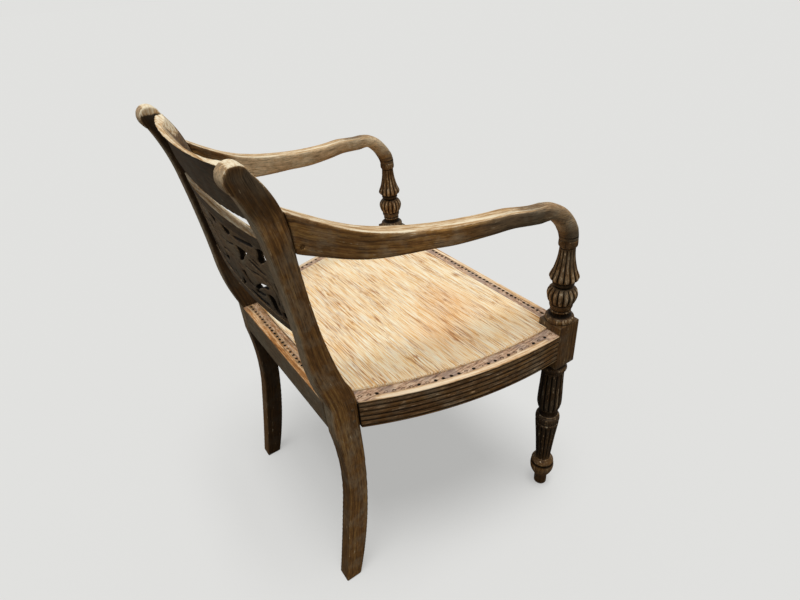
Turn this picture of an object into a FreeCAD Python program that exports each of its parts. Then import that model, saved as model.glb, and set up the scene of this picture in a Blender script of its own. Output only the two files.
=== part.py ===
import FreeCAD, Part
import math
import os
from types import SimpleNamespace

import Sketcher
from FreeCAD import Placement, Rotation, Vector

# An open armchair with a plank seat, a pierced back and turned front legs.
# +Z is up and the chair faces -Y. The origin lies on the floor under the middle of its bounding box.
# Right is the sitter's right, at -X. Each left piece is the right one mirrored at X = 0.

# Driving dimensions, in millimetres
sizes = {
    # Seat frame
    "seat_height": 430.0,
    "rail_height": 57.0,
    "rail_width": 42.0,
    "rail_bow": 24.0,
    "rail_rear_reach": 210.5,
    "front_rail_inset": 3.5,
    # Seat board
    "board_inset": 30.0,
    "recess_depth": 12.0,
    "board_proud": 4.0,
    "board_round": 3.0,
    # Front legs
    "leg_spread": 269.0,
    "leg_front": 241.0,
    "block_side": 49.0,
    "block_rise": 15.0,
    "block_drop": 22.0,
    "block_bevel": 3.0,
    "foot_height": 28.0,
    "foot_radius": 13.2,
    "bun_height": 54.0,
    "bun_radius": 25.2,
    "bun_groove": 1.6,
    "ankle_radius": 14.6,
    "taper_height": 104.0,
    "knee_height": 18.0,
    "knee_radius": 24.0,
    "cove_height": 20.0,
    "cove_radius": 17.2,
    "bulb_height": 90.0,
    "bulb_radius": 23.0,
    "bulb_neck_radius": 20.2,
    "disc_height": 26.0,
    "disc_radius": 26.6,
    "base_height": 13.0,
    "base_radius": 27.0,
    "step_height": 7.0,
    "step_radius": 20.5,
    "cup_height": 16.0,
    "cup_radius": 22.0,
    "cup_neck_radius": 16.5,
    "ball_height": 34.0,
    "ball_radius": 26.2,
    "neck_height": 10.0,
    "neck_radius": 20.3,
    "neck_groove_radius": 14.5,
    "bell_height": 60.0,
    "bell_radius": 25.0,
    "bell_neck_radius": 13.5,
    "collar_height": 19.0,
    "collar_radius": 15.4,
    "spigot_radius": 7.5,
    "spigot_length": 24.0,
    # Rear posts
    "post_set_in": 21.5,
    "post_thickness": 30.0,
    "post_front": 147.5,
    "post_depth": 45.0,
    "foot_rake": 48.5,
    "foot_depth": 31.0,
    "leg_splay": 6.0,
    "back_height": 406.0,
    "back_rake": 120.0,
    "back_splay": 9.6,
    # Arms
    "arm_width": 30.0,
    "arm_below_post": 59.0,
    "arm_back_depth": 55.0,
    "arm_back_reach": 68.5,
    "arm_front_rise": 75.0,
    "arm_front_depth": 22.0,
    "arm_crook": 76.0,
    "arm_edge_round": 3.0,
    "arm_tenon_depth": 32.0,
    "arm_tenon_drop": 20.0,
    "arm_tenon_reach": 14.0,
    "arm_pin_radius": 2.5,
    "arm_pin_length": 16.0,
    "arm_pin_drop": 59.0,
    "arm_pin_set": 45.0,
    # Back rails and pierced panel
    "crest_thickness": 13.0,
    "crest_back": 106.5,
    "crest_sag": 13.5,
    "crest_below_post": 24.0,
    "crest_height": 72.0,
    "crest_lift": 9.0,
    "crest_tenon_height": 44.0,
    "mid_rail_thickness": 12.0,
    "mid_rail_back": 92.5,
    "mid_rail_sag": 19.5,
    "mid_rail_height": 18.0,
    "panel_thickness": 9.0,
    "panel_height": 124.0,
    "panel_tongue": 5.0,
    "low_rail_height": 15.0,
    "crest_gap": 18.0,
    "back_tenon_shoulder": 2.5,
    # Joinery
    "tenon_thickness": 10.0,
    "tenon_length": 24.0,
    "tenon_low_shoulder": 8.0,
    "tenon_high_shoulder": 11.0,
    "joint_play": 0.3,
    "tenon_end_play": 1.0,
    "peg_radius": 3.0,
    "peg_length": 24.0,
    "peg_set": 10.0,
    "peg_low": 16.5,
    "peg_spacing": 24.5,
    "peg_proud": 0.5,
    # Cleats under the board, and their screws
    "cleat_side": 20.0,
    "front_cleat_gap": 29.5,
    "rear_cleat_gap": 23.5,
    "screw_radius": 2.0,
    "screw_length": 34.0,
    "board_screw_length": 29.0,
    "screw_head_radius": 4.0,
    "screw_head_height": 3.0,
}

# Shares of the lean and of the two outlines that are drawn by eye
crest_lean_share = 0.19
back_lean_share = 0.127
low_front_shares = [(0.258, 0.372), (0.0, 0.767)]
low_rear_shares = [(0.0, 0.85), (-0.188, 0.616), (0.072, 0.419), (0.464, 0.233)]
high_front_shares = [
    [(0.029, 0.051), (0.107, 0.102)],
    [(0.235, 0.243), (0.343, 0.413)],
    [(0.412, 0.578), (0.456, 0.739)],
    [(0.535, 0.868), (0.728, 0.968)],
]
small_of_back_shares = (0.22, 0.145)
roll_shares = [(0.872, 1.0), (1.0, 0.968), (0.996, 0.939), (0.926, 0.913)]
high_rear_shares = [
    [(0.806, 0.820), (0.723, 0.716)],
    [(0.632, 0.510), (0.566, 0.289)],
]

# Arm stations from the post to the crook: shares of the run, rise, depth and outward reach
arm_stations_shares = [
    (0.0, 1.0, 1.0, 0.0),
    (0.089, 0.765, 0.94, 0.015),
    (0.173, 0.577, 0.79, 0.08),
    (0.278, 0.398, 0.61, 0.23),
    (0.409, 0.260, 0.42, 0.365),
    (0.567, 0.153, 0.24, 0.505),
    (0.724, 0.097, 0.12, 0.645),
    (0.869, 0.066, 0.045, 0.80),
    (1.0, 0.0, 0.0, 0.925),
]
# Crook stations: shares of the crook's reach, drop, thickening, outward rest and quarter turn
crook_stations_shares = [
    (0.33, 0.05, 0.22, 0.5, 0.28),
    (0.625, 0.26, 0.44, 0.85, 0.52),
    (0.88, 0.625, 0.72, 1.0, 0.78),
    (1.0, 1.0, 1.0, 1.0, 1.0),
]

# Piercings of one half of the panel: shares of its half width and of its height
triangle_piercings_shares = [
    [(0.18, 0.985), (0.30, 0.92), (0.21, 0.87)],
    [(0.28, 0.78), (0.31, 0.57), (0.52, 0.75)],
    [(0.70, 0.98), (0.90, 0.985), (0.68, 0.73)],
    [(0.65, 0.25), (0.84, 0.05), (0.64, 0.03)],
    [(0.84, 0.55), (0.88, 0.53), (0.86, 0.42)],
]
crescent_piercings_shares = [
    [(0.40, 0.17), (0.52, 0.33), (0.69, 0.35), (0.56, 0.29)],
    [(0.05, 0.30), (0.13, 0.52), (0.10, 0.72), (0.20, 0.50)],
]


# A length worked out from named sizes, which keeps its terms so that a sketch can be bound to them
class Span:
    def __init__(self, terms):
        self.terms = terms

    def __add__(self, other):
        names = list(self.terms) + [name for name in other.terms if name not in self.terms]
        return Span({name: self.terms.get(name, 0) + other.terms.get(name, 0) for name in names})

    def __mul__(self, share):
        return Span({name: share * factor for name, factor in self.terms.items()})

    def __neg__(self):
        return self * -1

    def __sub__(self, other):
        return self + -other

    @property
    def value(self):
        return sum(factor * sheet.get(name) for name, factor in self.terms.items())

    @property
    def text(self):
        return " + ".join(f"({factor:.9f}) * Sizes.{name}" for name, factor in self.terms.items())


doc = FreeCAD.newDocument("planters_chair")
sheet = doc.addObject("Spreadsheet::Sheet", "Sizes")
for row, (alias, size) in enumerate(sizes.items(), start=1):
    sheet.set(f"A{row}", alias)
    sheet.set(f"B{row}", str(size))
    sheet.setAlias(f"B{row}", alias)
doc.recompute()
s = SimpleNamespace(**{alias: Span({alias: 1}) for alias in sizes})
zero = Span({})

# Heights and places that several pieces share
block_half = s.block_side * 0.5
post_half = s.post_thickness * 0.5
rail_bottom = s.seat_height - s.rail_height
block_bottom = rail_bottom - s.block_drop
block_top = s.seat_height + s.block_rise
block_rear = block_half - s.leg_front
block_inner = s.leg_spread - block_half
rail_front = s.front_rail_inset - s.leg_front - block_half
rail_rear = s.post_front + s.post_depth
rail_front_reach = s.leg_spread + block_half
rail_middle_reach = (rail_front_reach + s.rail_rear_reach) * 0.5 + s.rail_bow
rail_middle = (block_rear + s.post_front) * 0.5
post_spread = s.rail_rear_reach - s.post_set_in
post_inner = post_spread - post_half
post_outer = post_spread + post_half
post_top = s.seat_height + s.back_height
recess_floor = s.seat_height - s.recess_depth
leg_rest = s.block_rise + s.base_height + s.step_height + s.cup_height + s.ball_height
collar_top = s.seat_height + leg_rest + s.neck_height + s.bell_height + s.collar_height
tenon_low = rail_bottom + s.tenon_low_shoulder
tenon_height = s.rail_height - s.tenon_low_shoulder - s.tenon_high_shoulder


def vector(point):
    return Vector(point[0].value, point[1].value, 0)


def bindPoint(sketch, geometry, place, point, bound):
    # Fixes one sketch point at its spans, measured from the sketch's own origin
    for axis, kind, span in ((-2, "DistanceX", point[0]), (-1, "DistanceY", point[1])):
        if span.terms:
            index = sketch.addConstraint(Sketcher.Constraint(kind, -1, 1, geometry, place, span.value))
            bound.append((index, span.text))
        else:
            sketch.addConstraint(Sketcher.Constraint("PointOnObject", geometry, place, axis))


def drawLoop(sketch, start, steps):
    # Draws a closed loop: a step holds a line's end, or an arc's middle and end
    bound = []
    corners = [start] + [step[-1] for step in steps[:-1]]
    ends = []
    for number, step in enumerate(steps):
        first = vector(corners[number])
        last = vector(corners[(number + 1) % len(corners)])
        if len(step) == 1:
            geometry = sketch.addGeometry(Part.LineSegment(first, last))
            ends.append((geometry, 1, 2))
        else:
            geometry = sketch.addGeometry(Part.Arc(first, vector(step[0]), last))
            distances = [sketch.getPoint(geometry, place).distanceToPoint(first) for place in (1, 2)]
            ends.append((geometry, 1, 2) if distances[0] < distances[1] else (geometry, 2, 1))
            middle = sketch.addGeometry(Part.Point(vector(step[0])), True)
            sketch.addConstraint(Sketcher.Constraint("PointOnObject", middle, 1, geometry))
            bindPoint(sketch, middle, 1, step[0], bound)
    for number, (geometry, head, tail) in enumerate(ends):
        before = ends[number - 1]
        sketch.addConstraint(Sketcher.Constraint("Coincident", before[0], before[2], geometry, head))
        bindPoint(sketch, geometry, head, corners[number], bound)
    for index, text in bound:
        sketch.setExpression(f"Constraints[{index}]", text)


def newSketch(body, role, name, lift=zero):
    # A sketch on one of the body's origin planes, lifted along the plane's normal
    plane = next(feature for feature in body.Origin.OriginFeatures if feature.Role == role)
    sketch = body.newObject("Sketcher::SketchObject", name)
    sketch.AttachmentSupport = [(plane, "")]
    sketch.MapMode = "FlatFace"
    if lift.terms:
        sketch.setExpression("AttachmentOffset.Base.z", lift.text)
    doc.recompute()
    return sketch


def padBody(name, role, loops, length, lift=zero, both=False, turned=False, lean=None):
    # A body that is one padded sketch of closed loops
    body = doc.addObject("PartDesign::Body", name)
    sketch = newSketch(body, role, name + "_sketch", lift)
    for start, steps in loops:
        drawLoop(sketch, start, steps)
    feature = body.newObject("PartDesign::Pad", name + "_pad")
    feature.Profile = (sketch, [""])
    feature.setExpression("Length", length.text)
    feature.SideType = "Symmetric" if both else "One side"
    feature.Reversed = turned
    if lean:
        feature.UseCustomVector = True
        feature.Direction = lean
        feature.AlongSketchNormal = True
    sketch.Visibility = False
    return body


def polygon(points):
    # A loop of straight lines
    return points[0], [(point,) for point in points[1:] + points[:1]]


def box(name, corner, spread):
    # A box from its low corner and its three lengths
    solid = doc.addObject("Part::Box", name)
    for key, span in zip(("Length", "Width", "Height"), spread):
        solid.setExpression(key, span.text)
    for key, span in zip("xyz", corner):
        if span.terms:
            solid.setExpression(f"Placement.Base.{key}", span.text)
    return solid


def grownBox(name, corner, spread, growth):
    # The same box with play on every side: growth holds one span for each axis
    low = [place - play for place, play in zip(corner, growth)]
    return box(name, low, [length + play * 2 for length, play in zip(spread, growth)])


def rod(name, base, radius, length, direction):
    # A round rod from its base point along a direction
    solid = doc.addObject("Part::Cylinder", name)
    solid.setExpression("Radius", radius.text)
    solid.setExpression("Height", length.text)
    solid.Placement = Placement(Vector(), Rotation(Vector(0, 0, 1), direction))
    for key, span in zip("xyz", base):
        if span.terms:
            solid.setExpression(f"Placement.Base.{key}", span.text)
    return solid


def fuse(name, solids):
    joined = doc.addObject("Part::MultiFuse", name)
    joined.Shapes = solids
    return joined


def cut(name, base, tool):
    rest = doc.addObject("Part::Cut", name)
    rest.Base = base
    rest.Tool = tool
    return rest


def common(name, base, tool):
    shared = doc.addObject("Part::Common", name)
    shared.Base = base
    shared.Tool = tool
    return shared


def mirrored(name, source):
    twin = doc.addObject("Part::Mirroring", name)
    twin.Source = source
    twin.Normal = Vector(1, 0, 0)
    return twin


def compound(name, solids):
    group = doc.addObject("Part::Compound", name)
    group.Links = solids
    return group


nodes = {}


def keep(node, solid):
    # Gives a finished sub-part the label that names its file
    solid.Label = node
    nodes[node] = solid
    return solid


# Tenons of the seat rails, each with the mortise that takes it
def seatTenons(growth_across=zero, growth_along=zero, suffix=""):
    across, along = growth_across, growth_along
    half = s.tenon_thickness * 0.5
    side_front = grownBox(
        "side_front_tenon" + suffix,
        (half * -3 - s.leg_spread, block_rear - s.tenon_length, tenon_low),
        (s.tenon_thickness, s.tenon_length, tenon_height),
        (across, along, across),
    )
    side_rear = grownBox(
        "side_rear_tenon" + suffix,
        (-post_spread - half, s.post_front, tenon_low),
        (s.tenon_thickness, s.tenon_length, tenon_height),
        (across, along, across),
    )
    rear = grownBox(
        "rear_rail_tenon" + suffix,
        (-post_inner - s.tenon_length, rail_rear - half * 3, tenon_low),
        (s.tenon_length, s.tenon_thickness, tenon_height),
        (along, across, across),
    )
    front = grownBox(
        "front_rail_tenon" + suffix,
        (-block_inner - s.tenon_length, rail_front + half, tenon_low),
        (s.tenon_length, s.tenon_thickness, tenon_height),
        (along, across, across),
    )
    return SimpleNamespace(side_front=side_front, side_rear=side_rear, rear=rear, front=front)


tenons = seatTenons()
mortises = seatTenons(s.joint_play, s.tenon_end_play, "_mortise")


# Rear post: a plank sawn to a sabre curve in side view and splayed in front view
def postOutline(gap):
    lower = s.foot_rake + s.foot_depth - s.post_depth

    def high(share):
        return (s.post_front - gap + s.back_rake * share[0], s.seat_height + s.back_height * share[1])

    def lowFront(share):
        return (s.post_front - gap + s.foot_rake * share[0], s.seat_height * share[1])

    def lowRear(share):
        return (rail_rear + lower * share[0], s.seat_height * share[1])

    steps = [(lowFront(low_front_shares[0]), lowFront(low_front_shares[1]))]
    steps.append(((s.post_front - gap, s.seat_height),))
    steps += [(high(middle), high(end)) for middle, end in high_front_shares]
    steps.append((high(roll_shares[0]), high(roll_shares[1])))
    steps.append((high(roll_shares[2]), high(roll_shares[3])))
    steps += [(high(middle), high(end)) for middle, end in high_rear_shares]
    steps.append(((rail_rear + (s.back_rake - s.post_depth) * small_of_back_shares[0],
                   s.seat_height + s.back_height * small_of_back_shares[1]),
                  (rail_rear, s.seat_height)))
    steps.append((lowRear(low_rear_shares[0]),))
    steps.append((lowRear(low_rear_shares[1]), lowRear(low_rear_shares[2])))
    steps.append((lowRear(low_rear_shares[3]), (rail_rear + lower, zero)))
    start = (s.post_front - gap + s.foot_rake, zero)
    steps.append((start,))
    return start, steps


post_reach = post_outer + s.back_splay + s.leg_splay
post_side = padBody("post_side", "YZ_Plane", [postOutline(zero)], post_reach, turned=True)
post_gap_side = padBody("post_gap_side", "YZ_Plane", [postOutline(s.joint_play)], post_reach, turned=True)
post_face_points = [
    (-post_inner - s.leg_splay, zero),
    (-post_inner, rail_bottom),
    (-post_inner, s.seat_height),
    (-post_inner - s.back_splay, post_top),
    (-post_outer - s.back_splay, post_top),
    (-post_outer, s.seat_height),
    (-post_outer, rail_bottom),
    (-post_outer - s.leg_splay, zero),
]
post_front_view = padBody("post_front_view", "XZ_Plane", [polygon(post_face_points)],
                          (s.post_front + s.post_depth + s.back_rake) * 2, both=True)
post_blank = common("post_blank", post_side, post_front_view)


# A back rail is a sheet, bowed backwards in plan and leaning with the posts, trimmed to its front view
def leaningSheet(name, rear, sag, thickness, lean_share, level, play):
    # rear is the sheet's rear face at its ends, at the height named level
    end_rear = rear - level * lean_share + play
    end_front = end_rear - thickness - play * 2
    half = post_outer + s.back_splay
    loop = ((-half, end_rear), [
        ((zero, end_rear + sag), (half, end_rear)),
        ((half, end_front),),
        ((zero, end_front + sag), (-half, end_front)),
        ((-half, end_rear),),
    ])
    return padBody(name, "XY_Plane", [loop], post_top, lean=Vector(0, lean_share, 1))


def levelShare(level):
    # A level above the floor as a share of the back's height over the seat
    return (level.value - s.seat_height.value) / s.back_height.value


def faceAt(height_share):
    # Distance from the middle plane to a post's inner face, at a share of the back's height
    return post_inner + s.back_splay * height_share


def backView(name, low, high, lift, tenon_drop, play, end_play):
    # Front view of a back rail with its two tenons; the shoulders follow the posts' splay
    low_reach = faceAt(levelShare(low)) - s.joint_play
    high_reach = faceAt(levelShare(high)) - s.joint_play
    tip = low_reach + s.tenon_length + end_play
    tenon_bottom = low + tenon_drop - play
    tenon_top = high - tenon_drop + play
    top = [((high_reach, high + lift),), ((zero, high), (-high_reach, high + lift))]
    if not lift.terms:
        top = [((high_reach, high),), ((-high_reach, high),)]
    loop = ((-low_reach, low), [
        ((low_reach, low),),
        ((low_reach, tenon_bottom),),
        ((tip, tenon_bottom),),
        ((tip, tenon_top),),
        ((high_reach, tenon_top),),
        *top,
        ((-high_reach, tenon_top),),
        ((-tip, tenon_top),),
        ((-tip, tenon_bottom),),
        ((-low_reach, tenon_bottom),),
        ((-low_reach, low),),
    ])
    return padBody(name, "XZ_Plane", [loop], (s.post_front + s.back_rake + s.mid_rail_sag) * 2, both=True)


crest_top = post_top - s.crest_below_post
crest_bottom = crest_top - s.crest_height
mid_rail_top = crest_bottom - s.crest_gap
panel_top = mid_rail_top - s.mid_rail_height
panel_bottom = panel_top - s.panel_height
low_rail_bottom = panel_bottom - s.low_rail_height
crest_rear = s.post_front + s.crest_back - s.crest_sag
mid_rear = s.post_front + s.mid_rail_back - s.mid_rail_sag
crest_drop = (s.crest_height - s.crest_tenon_height) * 0.5
panel_rear = mid_rear - (s.mid_rail_thickness - s.panel_thickness) * 0.5

crest_sheet_sizes = (crest_rear, s.crest_sag, s.crest_thickness, crest_lean_share, crest_top)
rail_sheet_sizes = (mid_rear, s.mid_rail_sag, s.mid_rail_thickness, back_lean_share, mid_rail_top)
panel_sheet_sizes = (panel_rear, s.mid_rail_sag, s.panel_thickness, back_lean_share, mid_rail_top)
sheets = SimpleNamespace(
    crest=leaningSheet("crest_sheet", *crest_sheet_sizes, zero),
    crest_hole=leaningSheet("crest_hole_sheet", *crest_sheet_sizes, s.joint_play),
    rail=leaningSheet("back_sheet", *rail_sheet_sizes, zero),
    rail_hole=leaningSheet("back_hole_sheet", *rail_sheet_sizes, s.joint_play),
    panel=leaningSheet("panel_sheet", *panel_sheet_sizes, zero),
    panel_groove=leaningSheet("panel_groove_sheet", *panel_sheet_sizes, s.joint_play),
)

views = {
    "crest": (crest_bottom, crest_top, s.crest_lift, crest_drop),
    "mid": (panel_top, mid_rail_top, zero, s.back_tenon_shoulder),
    "low": (low_rail_bottom, panel_bottom, zero, s.back_tenon_shoulder),
}
solid_views = {key: backView(key + "_view", *view, zero, zero) for key, view in views.items()}
hole_views = {key: backView(key + "_hole_view", *view, s.joint_play, s.tenon_end_play)
              for key, view in views.items()}

crest_rail = common("crest_rail_solid", sheets.crest, solid_views["crest"])
crest_hole = common("crest_mortise", sheets.crest_hole, hole_views["crest"])
mid_blank = common("mid_rail_blank", sheets.rail, solid_views["mid"])
mid_hole = common("mid_rail_mortise", sheets.rail_hole, hole_views["mid"])
low_blank = common("low_rail_blank", sheets.rail, solid_views["low"])
low_hole = common("low_rail_mortise", sheets.rail_hole, hole_views["low"])
keep("crest_rail", crest_rail)


# Pierced panel: a thin bowed board whose tongues stand in grooves of the two rails
def piercing(side, shares, curved):
    def place(share):
        return (post_inner * (share[0] * side), panel_bottom + s.panel_height * share[1])

    points = [place(share) for share in shares]
    if curved:
        return points[0], [(points[1], points[2]), (points[3], points[0])]
    return polygon(points)


def panelView(name, growth, pierced):
    half = faceAt(levelShare(low_rail_bottom)) - s.joint_play + growth
    low = panel_bottom - s.panel_tongue - growth
    high = panel_top + s.panel_tongue + growth
    body = padBody(name, "XZ_Plane", [polygon([(-half, low), (half, low), (half, high), (-half, high)])],
                   (s.post_front + s.back_rake + s.mid_rail_sag) * 2, both=True)
    if pierced:
        sketch = newSketch(body, "XZ_Plane", name + "_piercings")
        for side in (-1, 1):
            for shares in triangle_piercings_shares:
                drawLoop(sketch, *piercing(side, shares, False))
            for shares in crescent_piercings_shares:
                drawLoop(sketch, *piercing(side, shares, True))
        feature = body.newObject("PartDesign::Pocket", name + "_pocket")
        feature.Profile = (sketch, [""])
        feature.Type = "ThroughAll"
        feature.SideType = "Symmetric"
        sketch.Visibility = False
    return body


panel_solid = common("panel_solid", sheets.panel, panelView("panel_view", zero, True))
panel_groove = common("panel_groove", sheets.panel_groove,
                      panelView("panel_groove_view", s.joint_play, False))
keep("pierced_back_panel", panel_solid)
keep("back_mid_rail", cut("back_mid_rail_solid", mid_blank, panel_groove))
keep("back_lower_rail", cut("back_lower_rail_solid", low_blank, panel_groove))


# Seat board, notched round the blocks and the posts; the grown one is the recess it lies in
def boardOutline(play):
    def half(side):
        front_reach = rail_front_reach - s.board_inset + play
        middle_reach = rail_middle_reach - s.board_inset + play
        rear_reach = s.rail_rear_reach - s.board_inset + play
        notch_reach = block_inner - s.joint_play
        post_reach_in = post_inner - s.joint_play
        front = rail_front + s.board_inset - play
        rear = rail_rear - s.board_inset + play
        notch_rear = block_rear + s.joint_play
        post_edge = s.post_front - s.joint_play
        return [
            ((notch_reach * side, front),),
            ((notch_reach * side, notch_rear),),
            ((front_reach * side, notch_rear),),
            ((middle_reach * side, rail_middle), (rear_reach * side, post_edge)),
            ((post_reach_in * side, post_edge),),
            ((post_reach_in * side, rear),),
        ]

    right = half(-1)
    left = half(1)
    back = [left[5], left[4], (left[3][1],), (left[3][0], left[2][0]), left[1], left[0]]
    return right[0][0], right[1:] + back + [right[0]]


board_blank = padBody("board_blank", "XY_Plane", [boardOutline(zero)], s.recess_depth + s.board_proud,
                      lift=recess_floor)
board_recess = padBody("board_recess", "XY_Plane", [boardOutline(s.joint_play)], s.recess_depth * 2,
                       lift=recess_floor)


# Seat rails
def sideRail():
    front_inner = rail_front_reach - s.rail_width
    middle_inner = rail_middle_reach - s.rail_width
    rear_inner = s.rail_rear_reach - s.rail_width
    loop = ((-rail_front_reach, block_rear), [
        ((-rail_middle_reach, rail_middle), (-s.rail_rear_reach, s.post_front)),
        ((-rear_inner, s.post_front),),
        ((-middle_inner, rail_middle), (-front_inner, block_rear)),
        ((-rail_front_reach, block_rear),),
    ])
    bar = padBody("side_rail_bar", "XY_Plane", [loop], s.rail_height, lift=rail_bottom)
    return fuse("side_rail_fused", [bar, tenons.side_front, tenons.side_rear])


side_blank = cut("side_rail_blank", sideRail(), board_recess)
rear_bar = box("rear_rail_bar", (-post_inner, rail_rear - s.rail_width, rail_bottom),
               (post_inner * 2, s.rail_width, s.rail_height))
front_bar = box("front_rail_bar", (-block_inner, rail_front, rail_bottom),
                (block_inner * 2, s.rail_width, s.rail_height))
rear_fused = fuse("rear_rail_fused",
                  [rear_bar, tenons.rear, mirrored("rear_rail_tenon_left", tenons.rear)])
front_fused = fuse("front_rail_fused",
                   [front_bar, tenons.front, mirrored("front_rail_tenon_left", tenons.front)])

# Pegs through the rear posts and the side rails' tenons
peg_places = [s.peg_low, s.peg_low + s.peg_spacing]
pegs = []
peg_holes = []
for number, rise in enumerate(peg_places):
    base = (-post_outer - s.peg_proud, s.post_front + s.peg_set, rail_bottom + rise)
    hole_base = (-post_outer - s.peg_proud - s.joint_play, base[1], base[2])
    pegs.append(rod(f"peg_{number}", base, s.peg_radius, s.peg_length, Vector(1, 0, 0)))
    peg_holes.append(rod(f"peg_hole_{number}", hole_base, s.peg_radius + s.joint_play,
                         s.peg_length + s.joint_play * 2, Vector(1, 0, 0)))
peg_hole_pair = fuse("peg_hole_pair", peg_holes)
left_pegs = [mirrored(f"left_peg_{number}", peg) for number, peg in enumerate(pegs)]
keep("side_rail_pegs", compound("side_rail_pegs_group", pegs + left_pegs))

side_rail = cut("side_rail_solid", side_blank, peg_hole_pair)
keep("side_seat_rail_right", side_rail)
keep("side_seat_rail_left", mirrored("side_rail_left_solid", side_rail))


# Screws and the holes they stand in
def screw(name, base, direction, length, play):
    # A countersunk screw from the middle of its head, or its hole where play isn't zero
    head = doc.addObject("Part::Cone", name + "_head")
    head.setExpression("Radius1", (s.screw_head_radius + play).text)
    head.setExpression("Radius2", (s.screw_radius + play).text)
    head.setExpression("Height", (s.screw_head_height + play).text)
    head.Placement = Placement(Vector(), Rotation(Vector(0, 0, 1), direction))
    for key, span in zip("xyz", base):
        if span.terms:
            head.setExpression(f"Placement.Base.{key}", span.text)
    return fuse(name, [head, rod(name + "_shank", base, s.screw_radius + play, length + play, direction)])


def screwRow(name, half, shares, place, level, direction, length, play=zero):
    return [screw(f"{name}_{number}", (half * share, place, level), direction, length, play)
            for number, share in enumerate(shares)]


front_cleat_half = block_inner - s.front_cleat_gap
rear_cleat_half = s.rail_rear_reach - s.rail_width - s.rear_cleat_gap
front_cleat_rear = rail_front + s.rail_width + s.cleat_side
rear_cleat_front = rail_rear - s.rail_width - s.cleat_side
cleat_low = recess_floor - s.cleat_side
cleat_middle = recess_floor - s.cleat_side * 0.5
rail_screw_shares = (-0.8, 0.0, 0.8)
board_screw_shares = (-0.5, 0.5)
forward, backward, upward = Vector(0, -1, 0), Vector(0, 1, 0), Vector(0, 0, 1)
front_board_place = rail_front + s.rail_width + s.cleat_side * 0.5
rear_board_place = rail_rear - s.rail_width - s.cleat_side * 0.5
screw_rows = (
    ("front_cleat_screw", front_cleat_half, rail_screw_shares, front_cleat_rear, cleat_middle, forward,
     s.screw_length),
    ("rear_cleat_screw", rear_cleat_half, rail_screw_shares, rear_cleat_front, cleat_middle, backward,
     s.screw_length),
    ("front_board_screw", front_cleat_half, board_screw_shares, front_board_place, cleat_low, upward,
     s.board_screw_length),
    ("rear_board_screw", rear_cleat_half, board_screw_shares, rear_board_place, cleat_low, upward,
     s.board_screw_length),
)
screws = [screwRow(*row) for row in screw_rows]
screw_hole_rows = [screwRow(row[0] + "_hole", *row[1:], s.joint_play) for row in screw_rows]
screw_holes = fuse("screw_holes", sum(screw_hole_rows, []))
keep("seat_cleat_screws", compound("cleat_screws_group", screws[0] + screws[1]))
keep("seat_board_screws", compound("board_screws_group", screws[2] + screws[3]))

front_cleat = box("front_cleat_bar", (-front_cleat_half, rail_front + s.rail_width, cleat_low),
                  (front_cleat_half * 2, s.cleat_side, s.cleat_side))
rear_cleat = box("rear_cleat_bar", (-rear_cleat_half, rear_cleat_front, cleat_low),
                 (rear_cleat_half * 2, s.cleat_side, s.cleat_side))
keep("front_seat_cleat", cut("front_cleat_solid", front_cleat, screw_holes))
keep("rear_seat_cleat", cut("rear_cleat_solid", rear_cleat, screw_holes))
rear_rebated = cut("rear_rail_rebated", rear_fused, board_recess)
front_rebated = cut("front_rail_rebated", front_fused, board_recess)
keep("rear_seat_rail", cut("rear_rail_solid", rear_rebated, screw_holes))
keep("front_seat_rail", cut("front_rail_solid", front_rebated, screw_holes))

# The board's upper edges are rounded before its screw holes are bored
doc.recompute()
board_top_value = (s.seat_height + s.board_proud).value
top_face = next(f"Face{number}" for number, face in enumerate(board_blank.Shape.Faces, start=1)
                if face.BoundBox.ZMin > board_top_value - s.joint_play.value)
board_pad = board_blank.Tip
board_fillet = board_blank.newObject("PartDesign::Fillet", "board_rounding")
board_fillet.Base = (board_pad, [top_face])
board_fillet.setExpression("Radius", s.board_round.text)
keep("seat_board", cut("seat_board_solid", board_blank, screw_holes))


# Front leg: turned from floor to arm in one piece, with a square block where the rails meet
def legProfile(start, bands):
    # A closed half profile: a band is a rise and a radius, or a rise, middle share, middle and end radius
    height, radius = start
    path = []
    for rise, *shape in bands:
        top = height + rise
        if len(shape) == 1:
            path.append(((shape[0], top),))
        else:
            share, middle_radius, end_radius = shape
            path.append(((middle_radius, height + rise * share), (end_radius, top)))
        height = top
    first = (radius, start[0])
    return (zero, start[0]), [(first,)] + path + [((zero, height),), ((zero, start[0]),)]


def revolve(body, name, profile):
    sketch = newSketch(body, "XZ_Plane", name + "_sketch")
    drawLoop(sketch, *profile)
    feature = body.newObject("PartDesign::Revolution", name)
    feature.Profile = (sketch, [""])
    feature.ReferenceAxis = (sketch, ["V_Axis"])
    sketch.Visibility = False
    return feature


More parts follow.
